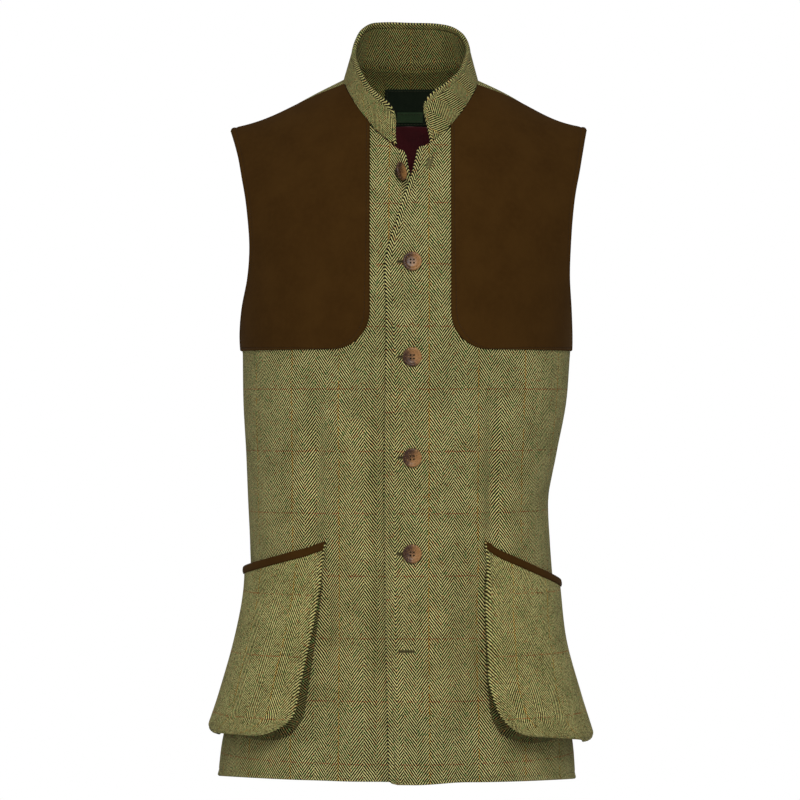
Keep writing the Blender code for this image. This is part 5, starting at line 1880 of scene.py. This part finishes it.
def build_buttonhole(name, middle_x, height, slope, length, width, thread, slit_look):
    """A worked buttonhole: a ring of close raised stitches round a slit."""
    steps, ring = RING_STEPS, RING_SIDES
    straight = length - width
    radius = width / 2 * RING_SHARE
    half_round = math.pi * radius
    share = np.arange(steps) / steps
    run = share * (2 * straight + 2 * math.pi * radius)
    stretches = [run < straight, run < straight + half_round, run < 2 * straight + half_round]
    first_bend, second_bend = (run - straight) / radius, (run - 2 * straight - half_round) / radius
    first_end = straight / 2 + radius * np.sin(first_bend)
    back_again = straight / 2 - (run - straight - half_round)
    last_end = -straight / 2 - radius * np.sin(second_bend)
    a = np.select(stretches, [run - straight / 2, first_end, back_again], last_end)
    flat = np.full_like(run, radius)
    b = np.select(stretches, [-flat, -radius * np.cos(first_bend), flat], radius * np.cos(second_bend))

    def seen(along, beside, stand):
        x = middle_x + along * math.cos(slope) - beside * math.sin(slope)
        return front_face(1, x, height + along * math.sin(slope) + beside * math.cos(slope), stand)

    centre, outward = seen(a, b, 0.0002)
    ahead = unit(np.roll(centre, -1, axis=0) - np.roll(centre, 1, axis=0))
    beside = np.cross(outward, ahead)
    girth = (THREAD_GIRTH * (1.0 + THREAD_BULGE * np.cos(share * 2 * math.pi * THREAD_WRAPS)))[:, None]
    points = []
    for turn in [2 * math.pi * k / ring for k in range(ring)]:
        spread, raised = beside * math.cos(turn) * THREAD_SPREAD, outward * math.sin(turn) * THREAD_RAISE
        points.append(centre + (spread + raised) * girth)
    points = np.array(points).transpose(1, 0, 2).reshape(-1, 3)
    faces = []
    for i in range(steps):
        for k in range(ring):
            here, there, after = i * ring, ((i + 1) % steps) * ring, (k + 1) % ring
            faces.append((here + k, there + k, there + after, here + after))
    chosen = [0] * len(faces)
    # The slit's faces take the second look; on all but the top buttonhole it is near black, painted shade in the
    # opening.
    along_slit = np.linspace(-straight / 2, straight / 2, SLIT_STEPS + 1)
    across_slit = (-SLIT_SHARE * radius, SLIT_SHARE * radius)
    sides = [seen(along_slit, beside, lift)[0] for lift in SLIT_LIFTS for beside in across_slit]
    top_a, top_b, low_a, low_b = (len(points) + k * (SLIT_STEPS + 1) for k in range(4))
    points = np.concatenate([points, *sides])
    for i in range(SLIT_STEPS):
        for p, q in ((top_a, top_b), (low_b, low_a), (top_b, low_b), (low_a, top_a)):
            faces.append((p + i, p + i + 1, q + i + 1, q + i))
    faces.append((top_a, top_b, low_b, low_a))
    faces.append(tuple(corner + SLIT_STEPS for corner in (top_a, low_a, low_b, top_b)))
    chosen += [1] * (len(faces) - len(chosen))
    piece = finished_mesh(name, points, np.array(faces), None, (thread, slit_look), np.array(chosen))
    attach(piece, "root")


def build_buttonholes(thread, soft_thread, dark):
    for i, height in enumerate(BUTTON_HEIGHTS):
        size = (BUTTONHOLE_LENGTH, BUTTONHOLE_WIDTH)
        build_buttonhole(f"buttonhole_{i + 2}", BUTTONHOLE_MIDDLE, height, 0.0, *size, thread, dark)
    size = (BOTTOM_BUTTONHOLE_LENGTH, BOTTOM_BUTTONHOLE_WIDTH)
    build_buttonhole("buttonhole_6", *BOTTOM_BUTTONHOLE, 0.0, *size, thread, dark)
    size = (TOP_BUTTONHOLE_LENGTH, TOP_BUTTONHOLE_WIDTH)
    build_buttonhole("buttonhole_1", *TOP_BUTTONHOLE, TOP_BUTTONHOLE_SLOPE, *size, soft_thread, soft_thread)


def build_floor():
    bm = bmesh.new()
    bmesh.ops.create_circle(bm, cap_ends=True, segments=96, radius=FLOOR_REACH)
    mesh = mesh_of("floor", bm)
    mesh.materials.append(floor_look())
    floor = linked("floor", mesh)
    floor.location = (0.0, 0.0, FLOOR_HEIGHT)


def light(name, place, target, size, power):
    data = bpy.data.lights.new(name, "AREA")
    data.shape = "DISK"
    data.size = size
    data.energy = power
    lamp = linked(name, data)
    lamp.location = place
    lamp.rotation_euler = (Vector(place) - Vector(target)).to_track_quat("Z", "Y").to_euler()


def build_studio():
    scene = bpy.context.scene
    scene.view_settings.view_transform = "Standard"
    world = bpy.data.worlds.new("studio")
    world.use_nodes = True
    tree = world.node_tree
    background = tree.nodes["Background"]
    background.inputs["Color"].default_value = (1.0, 1.0, 1.0, 1.0)
    seen = tree.nodes.new("ShaderNodeLightPath")
    strength = tree.nodes.new("ShaderNodeMath")
    strength.operation = "MULTIPLY_ADD"
    strength.inputs[1].default_value = 1.0 - ROOM_LIGHT
    strength.inputs[2].default_value = ROOM_LIGHT
    tree.links.new(seen.outputs["Is Camera Ray"], strength.inputs[0])
    tree.links.new(strength.outputs[0], background.inputs["Strength"])
    scene.world = world
    light("key", KEY_PLACE, (0.0, 0.0, -0.35), 1.0, KEY_POWER)
    light("fill", FILL_PLACE, (0.0, 0.0, -0.4), 1.8, FILL_POWER)
    data = bpy.data.cameras.new("camera")
    data.sensor_width = SENSOR
    data.lens = SENSOR * -CAMERA_PLACE[1] / VIEW_WIDTH
    camera = linked("camera", data)
    camera.location = CAMERA_PLACE
    camera.rotation_euler = (math.pi / 2, 0.0, 0.0)
    scene.camera = camera


def main():
    front_tweed, pocket_tweed, gusset_shade_tweed, collar_tweed, shaded_inner_tweed, shaded_facing_tweed = (
        tweed_look(name, tone) for name, tone in TWEED_TONES.items()
    )
    suede, satin = suede_look(), satin_look()
    label = label_look("label_green", (0.0035, 0.0075, 0.0030), (0.011, 0.016, 0.008))
    tag = label_look("tag_green", (0.012, 0.026, 0.010), (0.030, 0.052, 0.022))
    olive_thread = thread_look("thread_olive", (0.135, 0.118, 0.045))
    brown_thread = thread_look("thread_brown", (0.034, 0.016, 0.0045))
    label_thread = thread_look("thread_label", (0.035, 0.036, 0.018))
    hole_thread = thread_look("thread_buttonhole", (0.085, 0.072, 0.026))
    # Near black: painted shade in the buttonhole slits and the buttons' holes, and the thread that holds the
    # buttons.
    slit = thread_look("slit_hole_shade_and_thread", (0.010, 0.007, 0.003))
    tweed_lines = build_fronts(front_tweed, satin)
    tweed_lines += build_back(front_tweed, satin)
    tweed_lines += build_collar(collar_tweed, shaded_inner_tweed)
    suede_lines = build_patches(suede)
    for pocket, hand in zip(POCKETS, ("right", "left")):
        tweed_lines += build_pocket(pocket, hand, pocket_tweed, gusset_shade_tweed, suede)
    build_neck_facing(shaded_facing_tweed, shaded_inner_tweed)
    build_lining(satin)
    build_labels(label, tag, label_thread)
    build_buttons(horn_look(), slit)
    build_buttonholes(hole_thread, olive_thread, slit)
    build_stitches("tweed_stitches", tweed_lines, olive_thread)
    build_stitches("suede_stitches", suede_lines, brown_thread)
    build_floor()
    build_studio()
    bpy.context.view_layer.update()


main()
